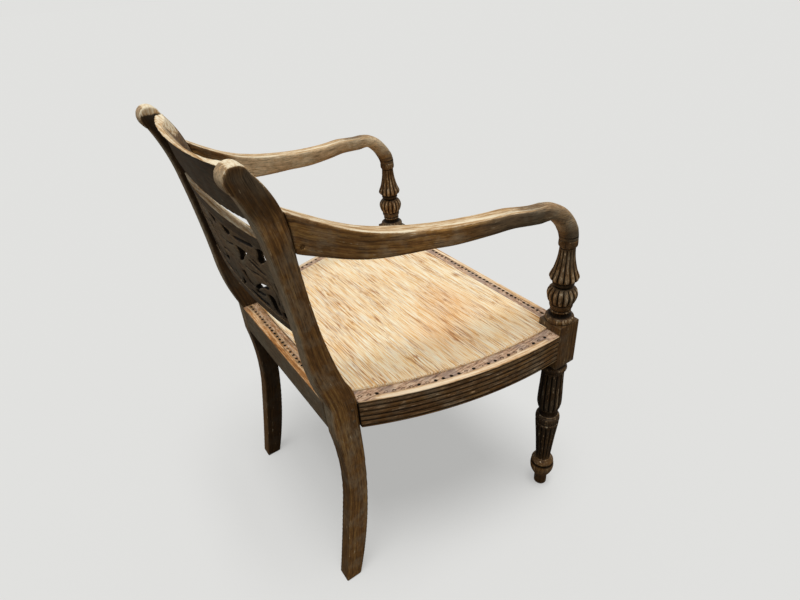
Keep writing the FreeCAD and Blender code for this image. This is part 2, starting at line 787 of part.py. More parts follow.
def frontLeg():
    body = doc.addObject("PartDesign::Body", "leg_turning")
    groove = s.bun_groove
    lobe = s.bun_height * 0.5 - groove
    lower = [
        (groove, s.foot_radius),
        (s.foot_height - groove, s.foot_radius),
        (lobe * 1.3, 0.6, s.bun_radius, s.bun_radius - groove),
        (groove, s.bun_radius - groove * 2),
        (groove, s.bun_radius - groove),
        (s.bun_height - lobe * 1.3 - groove * 2, 0.55, (s.bun_radius + s.ankle_radius) * 0.52,
         s.ankle_radius),
        (s.taper_height, 0.5, (s.ankle_radius + s.knee_radius) * 0.48, s.knee_radius - groove),
        (s.knee_height, 0.5, s.knee_radius, s.knee_radius - groove * 1.4),
        (s.cove_height * 0.6, 0.55, s.cove_radius + groove, s.cove_radius),
        (s.cove_height * 0.4, s.cove_radius + groove),
        (s.bulb_height * 0.42, 0.45, s.bulb_radius, s.bulb_radius - groove * 0.4),
        (s.bulb_height * 0.58, s.bulb_neck_radius),
        (s.disc_height, 0.5, s.disc_radius, s.bulb_neck_radius + groove),
        (block_bottom - s.foot_height - s.bun_height - s.taper_height - s.knee_height - s.cove_height
         - s.bulb_height - s.disc_height + groove, s.bulb_neck_radius + groove),
    ]
    revolve(body, "leg_lower", legProfile((zero, s.foot_radius - groove), lower))
    upper = [
        (groove, s.base_radius - groove),
        (s.base_height, 0.5, s.base_radius, s.step_radius + groove),
        (groove, s.step_radius),
        (s.step_height - groove * 2, s.step_radius),
        (groove, s.cup_neck_radius),
        (s.cup_height * 0.7, 0.5, (s.cup_neck_radius + s.cup_radius) * 0.53, s.cup_radius - groove * 0.3),
        (s.cup_height * 0.3, 0.5, s.cup_radius, s.cup_radius - groove * 0.5),
        (s.ball_height, 0.5, s.ball_radius, s.neck_radius - groove * 1.2),
        (groove, s.neck_groove_radius),
        (s.neck_height * 0.7 - groove, 0.5, s.neck_radius, s.neck_radius - groove * 2),
        (groove, s.neck_groove_radius),
        (s.neck_height * 0.3 - groove * 0.5, s.bell_radius - groove * 3),
        (s.bell_height * 0.3, 0.45, s.bell_radius, s.bell_radius - groove * 3),
        (s.bell_height * 0.7 - groove * 0.5, 0.4, (s.bell_radius + s.bell_neck_radius) * 0.435,
         s.bell_neck_radius),
        (s.collar_height, 0.45, s.collar_radius, s.collar_radius - groove * 0.2),
        (zero, s.spigot_radius),
        (s.spigot_length, s.spigot_radius),
    ]
    revolve(body, "leg_upper", legProfile((block_top - groove, s.base_radius - groove), upper))
    sketch = newSketch(body, "XY_Plane", "leg_block_sketch", block_bottom)
    quarters = ((-1, -1), (1, -1), (1, 1), (-1, 1))
    drawLoop(sketch, *polygon([(block_half * a, block_half * b) for a, b in quarters]))
    feature = body.newObject("PartDesign::Pad", "leg_block")
    feature.Profile = (sketch, [""])
    feature.setExpression("Length", (block_top - block_bottom).text)
    sketch.Visibility = False
    for key, span in zip("xy", (-s.leg_spread, -s.leg_front)):
        body.setExpression(f"Placement.Base.{key}", span.text)
    return body


leg = cut("front_leg_solid", frontLeg(), fuse("leg_mortises", [mortises.side_front, mortises.front]))
keep("front_leg_right", leg)
keep("front_leg_left", mirrored("front_leg_left_solid", leg))


# Arm: lofted through rounded rectangles, upright at the post and round where it turns down on the leg
def armSection(body, number, place, width, depth, radius, turn):
    # place is the section's middle: X, Y and Z; turn is its tilt forward, in degrees
    plane = next(feature for feature in body.Origin.OriginFeatures if feature.Role == "XZ_Plane")
    sketch = body.newObject("Sketcher::SketchObject", f"arm_section_{number}")
    sketch.AttachmentSupport = [(plane, "")]
    sketch.MapMode = "FlatFace"
    sketch.AttachmentOffset = Placement(Vector(), Rotation(Vector(1, 0, 0), turn))
    for key, span in zip("xyz", (place[0], place[2], -place[1])):
        sketch.setExpression(f"AttachmentOffset.Base.{key}", span.text)
    across = width * 0.5
    up = depth * 0.5
    diagonal = radius * (1 - math.sqrt(0.5))
    corners = []
    for a, b in ((1, 1), (-1, 1), (-1, -1), (1, -1)):
        along = (across * a - radius * a, up * b)
        beside = (across * a, up * b - radius * b)
        middle = (across * a - diagonal * a, up * b - diagonal * b)
        corners.append((beside, middle, along) if a * b > 0 else (along, middle, beside))
    steps = []
    for index, (head, middle, tail) in enumerate(corners):
        steps.append((middle, tail))
        steps.append((corners[(index + 1) % 4][0],))
    drawLoop(sketch, corners[0][0], steps)
    sketch.Visibility = False
    return sketch


arm_start = s.post_front + s.arm_back_reach
arm_crook_place = s.arm_crook - s.leg_front
arm_run = arm_start - arm_crook_place
arm_front_top = collar_top + s.arm_front_rise
arm_top = post_top - s.arm_below_post
arm_rise = arm_top - arm_front_top
arm_outer_rear = post_outer + s.back_splay * 0.78
arm_outer_front = s.leg_spread + s.arm_width * 0.5
collar_width = s.collar_radius * 2
quarter_turn = 90


def armBody():
    body = doc.addObject("PartDesign::Body", "arm_loft")
    sketches = []
    for run, rise, depth, outward in arm_stations_shares:
        thick = s.arm_front_depth + (s.arm_back_depth - s.arm_front_depth) * depth
        outer = arm_outer_rear + (arm_outer_front - arm_outer_rear) * outward
        top = arm_front_top + arm_rise * rise
        place = (s.arm_width * 0.5 - outer, arm_start - arm_run * run, top - thick * 0.5)
        radius = s.arm_edge_round * (1 + run)
        sketches.append(armSection(body, len(sketches), place, s.arm_width, thick, radius, 0))
    start_x, start_y, start_z = place
    end_x = -s.leg_spread
    for reach, drop, thickening, outward, turn in crook_stations_shares:
        thick = s.arm_front_depth + (collar_width - s.arm_front_depth) * thickening
        wide = s.arm_width + (collar_width - s.arm_width) * thickening
        middle = (start_x + (end_x - start_x) * outward, start_y - s.arm_crook * reach,
                  start_z + (collar_top - start_z) * drop)
        full_radius = s.collar_radius - s.arm_edge_round * 0.2
        radius = s.arm_edge_round * (2 - thickening * 2) + full_radius * thickening
        sketches.append(armSection(body, len(sketches), middle, wide, thick, radius, quarter_turn * turn))
    loft = body.newObject("PartDesign::AdditiveLoft", "arm_loft_feature")
    loft.Profile = (sketches[0], [""])
    loft.Sections = [(sketch, [""]) for sketch in sketches[1:]]
    return body


arm_middle = post_inner + s.back_splay * 0.78 + post_half
arm_tenon_corner = (-arm_middle - s.tenon_thickness * 0.5, arm_start - s.tenon_length,
                    arm_top - s.arm_tenon_drop - s.arm_tenon_depth)
arm_tenon_spread = (s.tenon_thickness, s.tenon_length + s.arm_tenon_reach, s.arm_tenon_depth)
arm_tenon = box("arm_tenon", arm_tenon_corner, arm_tenon_spread)
arm_mortise = grownBox("arm_mortise", arm_tenon_corner, arm_tenon_spread,
                       (s.joint_play, s.tenon_end_play, s.joint_play))
arm_trimmed = cut("arm_trimmed", armBody(), post_gap_side)
leg_bore = rod("arm_leg_bore", (-s.leg_spread, -s.leg_front, collar_top - s.joint_play),
               s.spigot_radius + s.joint_play, s.spigot_length + s.tenon_end_play + s.joint_play, upward)
pin_place = s.post_front + s.arm_pin_set
pin_level = arm_top - s.arm_pin_drop
pin_start = -arm_outer_rear - (arm_outer_front - arm_outer_rear) * arm_stations_shares[1][3]
arm_pin = rod("arm_pin_right", (pin_start, pin_place, pin_level), s.arm_pin_radius,
              s.arm_pin_length, Vector(1, 0, 0))
pin_hole = rod("arm_pin_hole", (pin_start - s.joint_play * 2, pin_place, pin_level),
               s.arm_pin_radius + s.joint_play, s.arm_pin_length + s.joint_play * 3, Vector(1, 0, 0))
arm_whole = fuse("arm_whole", [arm_trimmed, arm_tenon])
arm = cut("arm_solid", arm_whole, fuse("arm_bores", [leg_bore, pin_hole]))
keep("arm_right", arm)
keep("arm_left", mirrored("arm_left_solid", arm))
keep("arm_pins", compound("arm_pins_group", [arm_pin, mirrored("arm_pin_left", arm_pin)]))

# Posts with all their mortises
post_mortises = fuse("post_mortises", [mortises.side_rear, mortises.rear, arm_mortise, peg_hole_pair,
                                       crest_hole, mid_hole, low_hole])
post = cut("rear_post_solid", post_blank, post_mortises)
keep("rear_post_right", post)
keep("rear_post_left", mirrored("rear_post_left_solid", post))

doc.recompute()

# Every object is checked before anything is written
failed = [entry.Name for entry in doc.Objects if "Invalid" in entry.State or "Error" in entry.State]
if failed:
    raise RuntimeError(f"not built: {failed}")
for node, solid in nodes.items():
    if solid.Shape.isNull() or not solid.Shape.isValid():
        raise RuntimeError(f"{node} has no valid shape")

os.makedirs("parts", exist_ok=True)
for node, solid in nodes.items():
    solid.Shape.exportStep(f"parts/{node}.step")
    extent = solid.Shape.BoundBox
    print(f"{node}: {len(solid.Shape.Solids)} solids, {solid.Shape.Volume / 1000:.1f} cm3, "
          f"x {extent.XMin:.1f}..{extent.XMax:.1f} y {extent.YMin:.1f}..{extent.YMax:.1f} "
          f"z {extent.ZMin:.1f}..{extent.ZMax:.1f}")
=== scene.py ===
import math
from functools import partial

import bmesh
import bpy
import numpy as np
from mathutils import Matrix, Vector


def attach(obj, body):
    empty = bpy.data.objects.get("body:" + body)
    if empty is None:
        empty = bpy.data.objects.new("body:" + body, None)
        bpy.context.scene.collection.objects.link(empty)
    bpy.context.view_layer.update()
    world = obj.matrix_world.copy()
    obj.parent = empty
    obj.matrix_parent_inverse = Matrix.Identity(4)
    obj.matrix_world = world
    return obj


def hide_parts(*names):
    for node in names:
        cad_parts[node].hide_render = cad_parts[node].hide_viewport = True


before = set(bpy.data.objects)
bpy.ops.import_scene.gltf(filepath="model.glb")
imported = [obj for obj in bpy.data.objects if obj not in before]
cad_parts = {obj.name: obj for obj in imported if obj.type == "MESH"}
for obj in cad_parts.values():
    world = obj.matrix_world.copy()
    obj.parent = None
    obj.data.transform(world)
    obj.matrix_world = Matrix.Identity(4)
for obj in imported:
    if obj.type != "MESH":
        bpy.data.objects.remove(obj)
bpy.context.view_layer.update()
print("frame loaded:", len(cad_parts), "nodes")

mm = 0.001


def linearColour(hexText):
    # sRGB hex to the linear values that the sockets take
    parts = [int(hexText[i:i + 2], 16) / 255 for i in (1, 3, 5)]
    return tuple(c / 12.92 if c <= 0.04045 else ((c + 0.055) / 1.055) ** 2.4 for c in parts) + (1.0,)


def addNode(tree, kind, inputs=None, stops=None, out=0, **settings):
    # adds a node, sets its properties, fills or links its inputs by name or number, and a ramp's stops;
    # gives its first output, or the one that out names, or all of them for None
    node = tree.nodes.new(kind if "Node" in kind else "ShaderNode" + kind)
    for key, value in settings.items():
        setattr(node, key, value)
    for key, value in (inputs or {}).items():
        for item in value if isinstance(value, list) else [value]:
            if isinstance(item, bpy.types.NodeSocket):
                tree.links.new(item, node.inputs[key])
            else:
                node.inputs[key].default_value = item
    if stops:
        while len(node.color_ramp.elements) < len(stops):
            node.color_ramp.elements.new(0.5)
        for element, (place, hexText) in zip(node.color_ramp.elements, stops):
            element.position = place
            element.color = linearColour(hexText)
    return node.outputs if out is None or not node.outputs else node.outputs[out]


def emptied(tree):
    # clears a node tree and gives the function that adds to it
    tree.nodes.clear()
    return partial(addNode, tree)


def newMaterial(name):
    material = bpy.data.materials.new(name)
    material.use_nodes = True
    return material, emptied(material.node_tree)


def newGeometryTree(name, sockets):
    # a tree of geometry nodes with named inputs, the function that adds to it, and its inputs' sockets
    tree = bpy.data.node_groups.new(name, "GeometryNodeTree")
    for label, kind in sockets:
        tree.interface.new_socket(label, in_out="INPUT", socket_type="NodeSocket" + kind)
    tree.interface.new_socket("Geometry", in_out="OUTPUT", socket_type="NodeSocketGeometry")
    add = partial(addNode, tree)
    return tree, add, add("NodeGroupInput", out=None)


def giveInputs(modifier, values):
    # sets a node tree's named inputs by their identifiers
    for item in modifier.node_group.interface.items_tree:
        if item.item_type == "SOCKET" and item.in_out == "INPUT" and item.name in values:
            modifier[item.identifier] = values[item.name]


def newPiece(name, vertices, faces=()):
    mesh = bpy.data.meshes.new(name)
    mesh.from_pydata([tuple(v) for v in vertices], [], [tuple(int(i) for i in f) for f in faces])
    mesh.update()
    piece = bpy.data.objects.new(name, mesh)
    bpy.context.scene.collection.objects.link(piece)
    return piece


def newLine(name, places):
    # a run of points joined by edges
    piece = newPiece(name, places)
    piece.data.edges.add(len(places) - 1)
    for i, edge in enumerate(piece.data.edges):
        edge.vertices = (i, i + 1)
    return piece


def reworked(piece, *steps):
    # runs steps of mesh editing on the piece
    soup = bmesh.new()
    soup.from_mesh(piece.data)
    for step in steps:
        step(soup)
    soup.to_mesh(piece.data)
    soup.free()
    return piece


def normalsOut(soup):
    bmesh.ops.recalc_face_normals(soup, faces=soup.faces)


def prism(name, near, far):
    # a closed solid between two outlines with the same number of points
    count = len(near)
    faces = [range(count), range(count * 2 - 1, count - 1, -1)]
    faces += [((i + 1) % count, i, i + count, (i + 1) % count + count) for i in range(count)]
    return reworked(newPiece(name, near + far, faces), normalsOut)


def plainMesh(piece):
    # turns the piece, with what its modifiers make of it, into a plain mesh
    bpy.context.view_layer.update()
    made = bpy.data.meshes.new_from_object(piece.evaluated_get(bpy.context.evaluated_depsgraph_get()))
    piece.modifiers.clear()
    piece.data = made
    return piece


def softened(piece, voxel, passes):
    # an even mesh with its arrises rounded over, as years of hands leave them
    remesh = piece.modifiers.new("even", "REMESH")
    remesh.mode = "VOXEL"
    remesh.voxel_size = voxel * mm
    smooth = piece.modifiers.new("rub", "SMOOTH")
    smooth.factor = 0.5
    smooth.iterations = passes
    return plainMesh(piece)


def copyOfNode(node, name):
    # a merged copy of a CAD node's mesh, as a piece of its own
    piece = bpy.data.objects.new(name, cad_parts[node].data.copy())
    bpy.context.scene.collection.objects.link(piece)
    return reworked(piece, lambda soup: bmesh.ops.remove_doubles(soup, verts=soup.verts, dist=0.02 * mm),
                    normalsOut)


def finishPiece(piece, material, node):
    # one material, smooth faces, its body in the frame and the CAD node that it takes the place of
    piece.data.materials.clear()
    piece.data.materials.append(material)
    piece.data.polygons.foreach_set("use_smooth", [True] * len(piece.data.polygons))
    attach(piece, "root")
    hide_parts(node)
    return piece


def vectorsOf(items, key):
    flat = np.zeros(len(items) * 3)
    items.foreach_get(key, flat)
    return flat.reshape(-1, 3)


def pointsOf(piece):
    return vectorsOf(piece.data.vertices, "co")


def normalsOf(piece):
    return vectorsOf(piece.data.vertex_normals, "vector")


def movePoints(piece, where):
    piece.data.vertices.foreach_set("co", np.ascontiguousarray(where, dtype=np.float32).ravel())
    piece.data.update()


def proudness(piece, passes=2):
    # how far each point stands proud of its neighbours: about 0.5 on an edge, negative in a corner
    where, facing = pointsOf(piece), normalsOf(piece)
    ends = np.zeros(len(piece.data.edges) * 2, dtype=np.int64)
    piece.data.edges.foreach_get("vertices", ends)
    a, b = ends.reshape(-1, 2).T
    gap = where[b] - where[a]
    length = np.linalg.norm(gap, axis=1) + 1e-9
    bend, count = np.zeros(len(where)), np.zeros(len(where))
    for here, turned in ((a, -facing[a]), (b, facing[b])):
        np.add.at(bend, here, (gap * turned).sum(1) / length)
        np.add.at(count, here, 1)
    bend /= np.maximum(count, 1)
    for _ in range(passes):
        total = bend.copy()
        np.add.at(total, a, bend[b])
        np.add.at(total, b, bend[a])
        bend = total / (count + 1)
    return bend


def setAttributes(piece, **given):
    # what the materials read at each point: wear, tone, dust and the like
    for name, values in given.items():
        attribute = piece.data.attributes.get(name) or piece.data.attributes.new(name, "FLOAT", "POINT")
        attribute.data.foreach_set("value", np.ascontiguousarray(values, dtype=np.float32))


def attributeOf(piece, name):
    values = np.zeros(len(piece.data.vertices))
    piece.data.attributes[name].data.foreach_get("value", values)
    return values


def setFlow(piece, places):
    # where each point lies for the grain, when the grain follows a swept piece
    attribute = piece.data.attributes.new("flow", "FLOAT_VECTOR", "POINT")
    attribute.data.foreach_set("vector", np.ascontiguousarray(places, dtype=np.float32).ravel())


def followGrain(piece, axis, low, high, stations=30):
    # keeps each point's place beside the piece's own middle line
    where = pointsOf(piece)
    along = where[:, axis]
    marks = np.linspace(low, high, stations)
    near = [np.abs(along - mark) < (high - low) / (stations - 2) for mark in marks]
    flow = where.copy()
    for other in range(3):
        if other != axis:
            flow[:, other] -= np.interp(along, marks, [where[n, other].mean() for n in near])
    setFlow(piece, flow)


def easeBetween(low, high, value):
    t = np.clip((value - low) / (high - low), 0, 1)
    return t * t * (3 - 2 * t)


def arcRun(start, through, end, count=16):
    # points on the circle through three places, without the first
    (ax, ay), (bx, by), (cx, cy) = start, through, end
    d = 2 * (ax * (by - cy) + bx * (cy - ay) + cx * (ay - by))
    squares = [x ** 2 + y ** 2 for x, y in (start, through, end)]
    ux = (squares[0] * (by - cy) + squares[1] * (cy - ay) + squares[2] * (ay - by)) / d
    uy = (squares[0] * (cx - bx) + squares[1] * (ax - cx) + squares[2] * (bx - ax)) / d
    radius = math.hypot(ax - ux, ay - uy)
    first, middle, last = (math.atan2(y - uy, x - ux) for x, y in (start, through, end))
    sweep = (last - first) % (2 * math.pi)
    if (middle - first) % (2 * math.pi) > sweep:
        sweep -= 2 * math.pi
    turns = [first + sweep * k / count for k in range(1, count + 1)]
    return [(ux + radius * math.cos(t), uy + radius * math.sin(t)) for t in turns]


def smoothRun(places, step):
    # points about a step apart on a smooth line through the places
    places = np.array(places, dtype=float)
    padded = np.vstack([2 * places[0] - places[1], places, 2 * places[-1] - places[-2]])
    run = []
    for p0, p1, p2, p3 in zip(padded, padded[1:], padded[2:], padded[3:]):
        count = max(2, round(float(np.linalg.norm(p2 - p1)) / step))
        for t in np.arange(count) / count:
            run.append(0.5 * (2 * p1 + (p2 - p0) * t + (2 * p0 - 5 * p1 + 4 * p2 - p3) * t * t
                              + (3 * p1 - p0 - 3 * p2 + p3) * t ** 3))
    return np.array(run + [places[-1]])


# Old teak, sawn and planed, oiled and waxed once and weathered since. To the eye: brown sides with fine dark
# pores and grey patches, near black corners of dirt and painted shade, and pale bare wood where hands, arms
# and light reach it.
teakLook = {
    "dark": "#46301A",
    "middle": "#6B4A25",
    "light": "#92703F",
    "grey": "#7E705A",
    "wornDark": "#8A6439",
    "worn": "#C9A577",
    "wornPale": "#F7E8C8",
    "dirt": "#0C0805",
    "streakWidth": 2.2,      # mm, one growth streak
    "streakStretch": 32.0,   # how much longer than wide it is
    "poreWidth": 0.5,        # mm, drawn about twice as wide as real so that it shows
    "mottleSize": 4.0,       # mm, one blotch of old wax and dust
    "mottleSqueeze": 0.3,    # its share of length along the grain
    "mottleRange": (0.68, 1.35),
    "patchSize": 45.0,       # mm, a weathered patch
    "patchGrey": 0.6,
    "poreDark": 0.6,
    "bleach": 0.14,          # how much paler the most worn wood gets
    "wearRagged": 5.0,       # mm, the broken edge of a worn place
    "wearSqueeze": 0.14,
    "scuffWidth": 2.6,       # mm, a scratch down to bare wood, drawn a little larger so that it shows
    "scuffShare": 0.75,
    "dirtMost": 0.94,
    "roughness": 0.58,
    "wornRoughness": 0.85,
    "gloss": 0.2,
    "dirtGloss": 0.2,        # the share of the gloss that is left on dirt and painted shade
}


def teakMaterial(name, grain, look=teakLook, flowing=False, cover=None):
    # grain is the axis that the growth streaks follow, in the object's own frame or beside its middle line;
    # cover lays something over the wood's colour
    material, add = newMaterial(name)
    place = add("TexCoord", out="Object")
    if flowing:
        place = add("Attribute", attribute_name="flow", out="Vector")
    along, torn, smeared = (
        add("Mapping", {"Vector": place, "Scale": tuple(share if axis == grain else 1.0 for axis in "XYZ")})
        for share in (1 / look["streakStretch"], look["wearSqueeze"], look["mottleSqueeze"]))
    streaks, pores, mottle, patches, ragged, scuffs = (
        add("TexNoise", {"Vector": vector, "Scale": times / (look[size] * mm), "Detail": detail,
                         "Roughness": roughness, "Distortion": distortion})
        for vector, times, size, detail, roughness, distortion in (
            (along, 0.5, "streakWidth", 6.0, 0.66, 0.25), (along, 0.5, "poreWidth", 2.0, 0.6, 0.0),
            (smeared, 1.0, "mottleSize", 5.0, 0.72, 0.0), (place, 1.0, "patchSize", 5.0, 0.62, 0.0),
            (torn, 1.0, "wearRagged", 6.0, 0.7, 0.0), (torn, 1.0, "scuffWidth", 3.0, 0.75, 0.0)))
    wear, tone, dust = (add("Attribute", attribute_name=key, out="Fac") for key in ("wear", "tone", "dust"))

    body = add("ValToRGB", {"Fac": streaks}, stops=[
        (0.3, look["dark"]), (0.5, look["middle"]), (0.72, look["light"])])
    greyShare = add("MapRange", {
        "Value": patches, "From Min": 0.46, "From Max": 0.66, "To Min": 0.0, "To Max": look["patchGrey"]})
    dusty = add("Math", {0: greyShare, 1: dust}, operation="ADD")
    greyed = add("Mix", {0: dusty, 6: body, 7: linearColour(look["grey"])}, data_type="RGBA", out=2)
    waxed = add("MapRange", {"Value": mottle, "From Min": 0.32, "From Max": 0.68,
                             "To Min": look["mottleRange"][0], "To Max": look["mottleRange"][1]})
    toned = add("Math", {0: tone, 1: 1.0}, operation="ADD")
    level = add("Math", {0: waxed, 1: toned}, operation="MULTIPLY")
    shaded = add("VectorMath", {0: greyed, "Scale": level}, operation="SCALE")
    poreShare = add("MapRange", {
        "Value": pores, "From Min": 0.36, "From Max": 0.47, "To Min": look["poreDark"], "To Max": 0.0})
    pored = add("Mix", {0: poreShare, 6: shaded, 7: linearColour(look["dirt"])}, data_type="RGBA", out=2)

    # bare wood, whiter the more it is worn, with a ragged edge and scuffs beyond it
    bleached = add("MapRange", {
        "Value": wear, "From Min": 0.9, "From Max": 1.6, "To Min": 0.0, "To Max": look["bleach"]})
    blotched = add("Math", {0: mottle, 1: 0.35, 2: streaks}, operation="MULTIPLY_ADD")
    bareTone = add("Math", {0: blotched, 1: bleached}, operation="ADD")
    bare = add("ValToRGB", {"Fac": bareTone}, stops=[
        (0.5, look["wornDark"]), (0.64, look["worn"]), (0.8, look["wornPale"])])
    wornNoise = add("Math", {0: ragged, 1: 1.7, 2: -0.85}, operation="MULTIPLY_ADD")
    scuffed = add("MapRange", {
        "Value": scuffs, "From Min": 0.58, "From Max": 0.74, "To Min": 0.0, "To Max": look["scuffShare"]})
    wornEdge = add("Math", {0: wear, 1: wornNoise}, operation="ADD")
    wornSum = add("Math", {0: wornEdge, 1: scuffed}, operation="ADD")
    wornShare = add("MapRange", {"Value": wornSum, "From Min": 0.25, "From Max": 0.85},
                    interpolation_type="SMOOTHSTEP")
    worn = add("Mix", {0: wornShare, 6: pored, 7: bare}, data_type="RGBA", out=2)
    # negative wear turns the wood towards the dark colour: dirt, and painted shade where a piece gives a
    # recess or a shaded face negative wear
    dirtAndShadeNoise = add("Math", {0: ragged, 1: 0.5, 2: wear}, operation="MULTIPLY_ADD")
    dirtAndShadeShare = add("MapRange", {
        "Value": dirtAndShadeNoise, "From Min": 0.05, "From Max": -0.6, "To Min": 0.0, "To Max": look["dirtMost"]})
    colour = add("Mix", {0: dirtAndShadeShare, 6: worn, 7: linearColour(look["dirt"])}, data_type="RGBA", out=2)
    if cover:
        colour = cover(add, grain, look, colour)

    rough = add("MapRange", {
        "Value": wornShare, "To Min": look["roughness"], "To Max": look["wornRoughness"]})
    relief = add("Math", {0: pores, 1: 0.6, 2: streaks}, operation="MULTIPLY_ADD")
    bump = add("Bump", {"Height": relief, "Strength": 0.4, "Distance": 0.5 * mm})
    gloss = add("MapRange", {
        "Value": dirtAndShadeShare, "To Min": look["gloss"], "To Max": look["gloss"] * look["dirtGloss"]})
    shader = add("BsdfPrincipled", {
        "Base Color": colour, "Roughness": rough, "Normal": bump, "IOR": 1.5, "Specular IOR Level": gloss})
    add("OutputMaterial", {"Surface": shader})
    return material


teakAlong = {axis: teakMaterial("agedTeak" + axis, axis) for axis in "XZ"}
teakSwept = {axis: teakMaterial("agedTeakSwept" + axis, axis, flowing=True) for axis in "YZ"}
# The panel's teak is the same wood, carved by hand: its wear and its darkening come with the carving's depth,
# the darkening partly dirt and partly painted shade in the recesses
teakCarved = teakMaterial("darkCarvedTeak", "X")
print("teak finishes made")


# The seat rails' tops. To the eye: a rubbed outer strip, the old caning holes, and a brown-grey crust of glue
# and dust, broken up so that pale specks of wood show through.
railLook = {
    **teakLook, "worn": "#D8AE7E", "wornPale": "#FBE4C2",
    "bandDark": "#553D2D", "bandMiddle": "#C79E7D", "bandPale": "#F0D6B6", "dustGrey": "#9A877C",
    "speckSize": 2.2,        # mm, one speck of the crust
    "speckSqueeze": 0.2,     # its share of length along the grain
    "dustSize": 30.0,        # mm, a dusty stretch
    "dustRange": (0.1, 0.65),
}
# the rear rail's top never had the glue and dust of the others: orange-brown wood between pale patches
rearLook = {**railLook, "wornDark": "#75481F", "worn": "#C58A50", "wornPale": "#F6D6AA",
            "bandMiddle": "#A87850", "dustGrey": "#957A68"}


def railCrust(add, grain, look, wood):
    place = add("TexCoord", out="Object")
    along = add("Mapping", {
        "Vector": place, "Scale": tuple(look["speckSqueeze"] if axis == grain else 1.0 for axis in "XYZ")})
    specks = add("TexNoise", {
        "Vector": along, "Scale": 0.8 / (look["speckSize"] * mm), "Detail": 4.0, "Roughness": 0.75})
    streaked = add("ValToRGB", {"Fac": specks}, stops=[
        (0.36, look["bandDark"]), (0.5, look["bandMiddle"]), (0.64, look["bandPale"])])
    dusting = add("TexNoise", {"Vector": place, "Scale": 1 / (look["dustSize"] * mm), "Detail": 3.0})
    dustShare = add("MapRange", {"Value": dusting, "From Min": 0.44, "From Max": 0.6,
                                 "To Min": look["dustRange"][0], "To Max": look["dustRange"][1]})
    crust = add("Mix", {0: dustShare, 6: streaked, 7: linearColour(look["dustGrey"])},
                data_type="RGBA", out=2)
    band, bored = (add("Attribute", attribute_name=key, out="Fac") for key in ("band", "bored"))
    broken = add("Math", {0: specks, 1: 0.9, 2: band}, operation="MULTIPLY_ADD")
    share = add("MapRange", {"Value": broken, "From Min": 0.75, "From Max": 1.05})
    crusted = add("Mix", {0: share, 6: wood, 7: crust}, data_type="RGBA", out=2)
    # the holes' walls and bottoms are painted near black: painted shade inside the holes
    return add("Mix", {0: bored, 6: crusted, 7: linearColour(look["dirt"])}, data_type="RGBA", out=2)


railStraight = teakMaterial("canedRailTeak", "X", railLook, cover=railCrust)
railSwept = teakMaterial("canedRailTeakSwept", "Y", railLook, flowing=True, cover=railCrust)
railRear = teakMaterial("canedRailTeakRear", "X", rearLook, cover=railCrust)

# The seat board: bare teak, planed by hand and never finished. To the eye: cream wood in long streaks from
# side to side, with thin orange-brown growth lines, torn fibres and a few knots.
boardLook = {
    "streakWidth": 0.9,     # mm
    "streakStretch": 30.0,
    "linePitch": 6.5,       # mm, two growth lines, drawn wider apart than real so that they show
    "finePitch": 3.0,       # mm, two fine lines
    "lineStretch": 24.0,
    "breakStretch": 7.0,
    "breakLength": 22.0,    # mm, where a line fades out
    "scratchWidth": 0.6,    # mm, one torn fibre
    "scratchStretch": 34.0,
    "scratchShare": 0.36,
    "fade": 80.0,           # mm, a warmer or paler area
    "sway": 0.004,          # m, how far the grain wanders
    "stops": [(0.34, "#CF9250"), (0.42, "#F3C887"), (0.5, "#FEE7BC"), (0.59, "#FFF9E3")],
    "line": "#AB6A30",
    "scratch": "#A56A36",
    "warm": "#F8CC8E",
    "warmShare": 0.15,
    "nearWarm": 0.1,
    # x, y, size in mm, and how strong
    "knots": [(-15.0, -212.0, 8.0, 0.7), (-76.0, -133.0, 5.0, 0.5), (60.0, -20.0, 4.0, 0.4)],
    "blushes": [(-76.0, -133.0, 62.0, 0.36), (-150.0, -60.0, 70.0, 0.25), (20.0, 40.0, 60.0, 0.1)],
    "knotColour": "#A5703C",
    "blushColour": "#F0B565",
    "top": 0.434,           # m
    "roughness": 0.8,
    "gloss": 0.25,
}


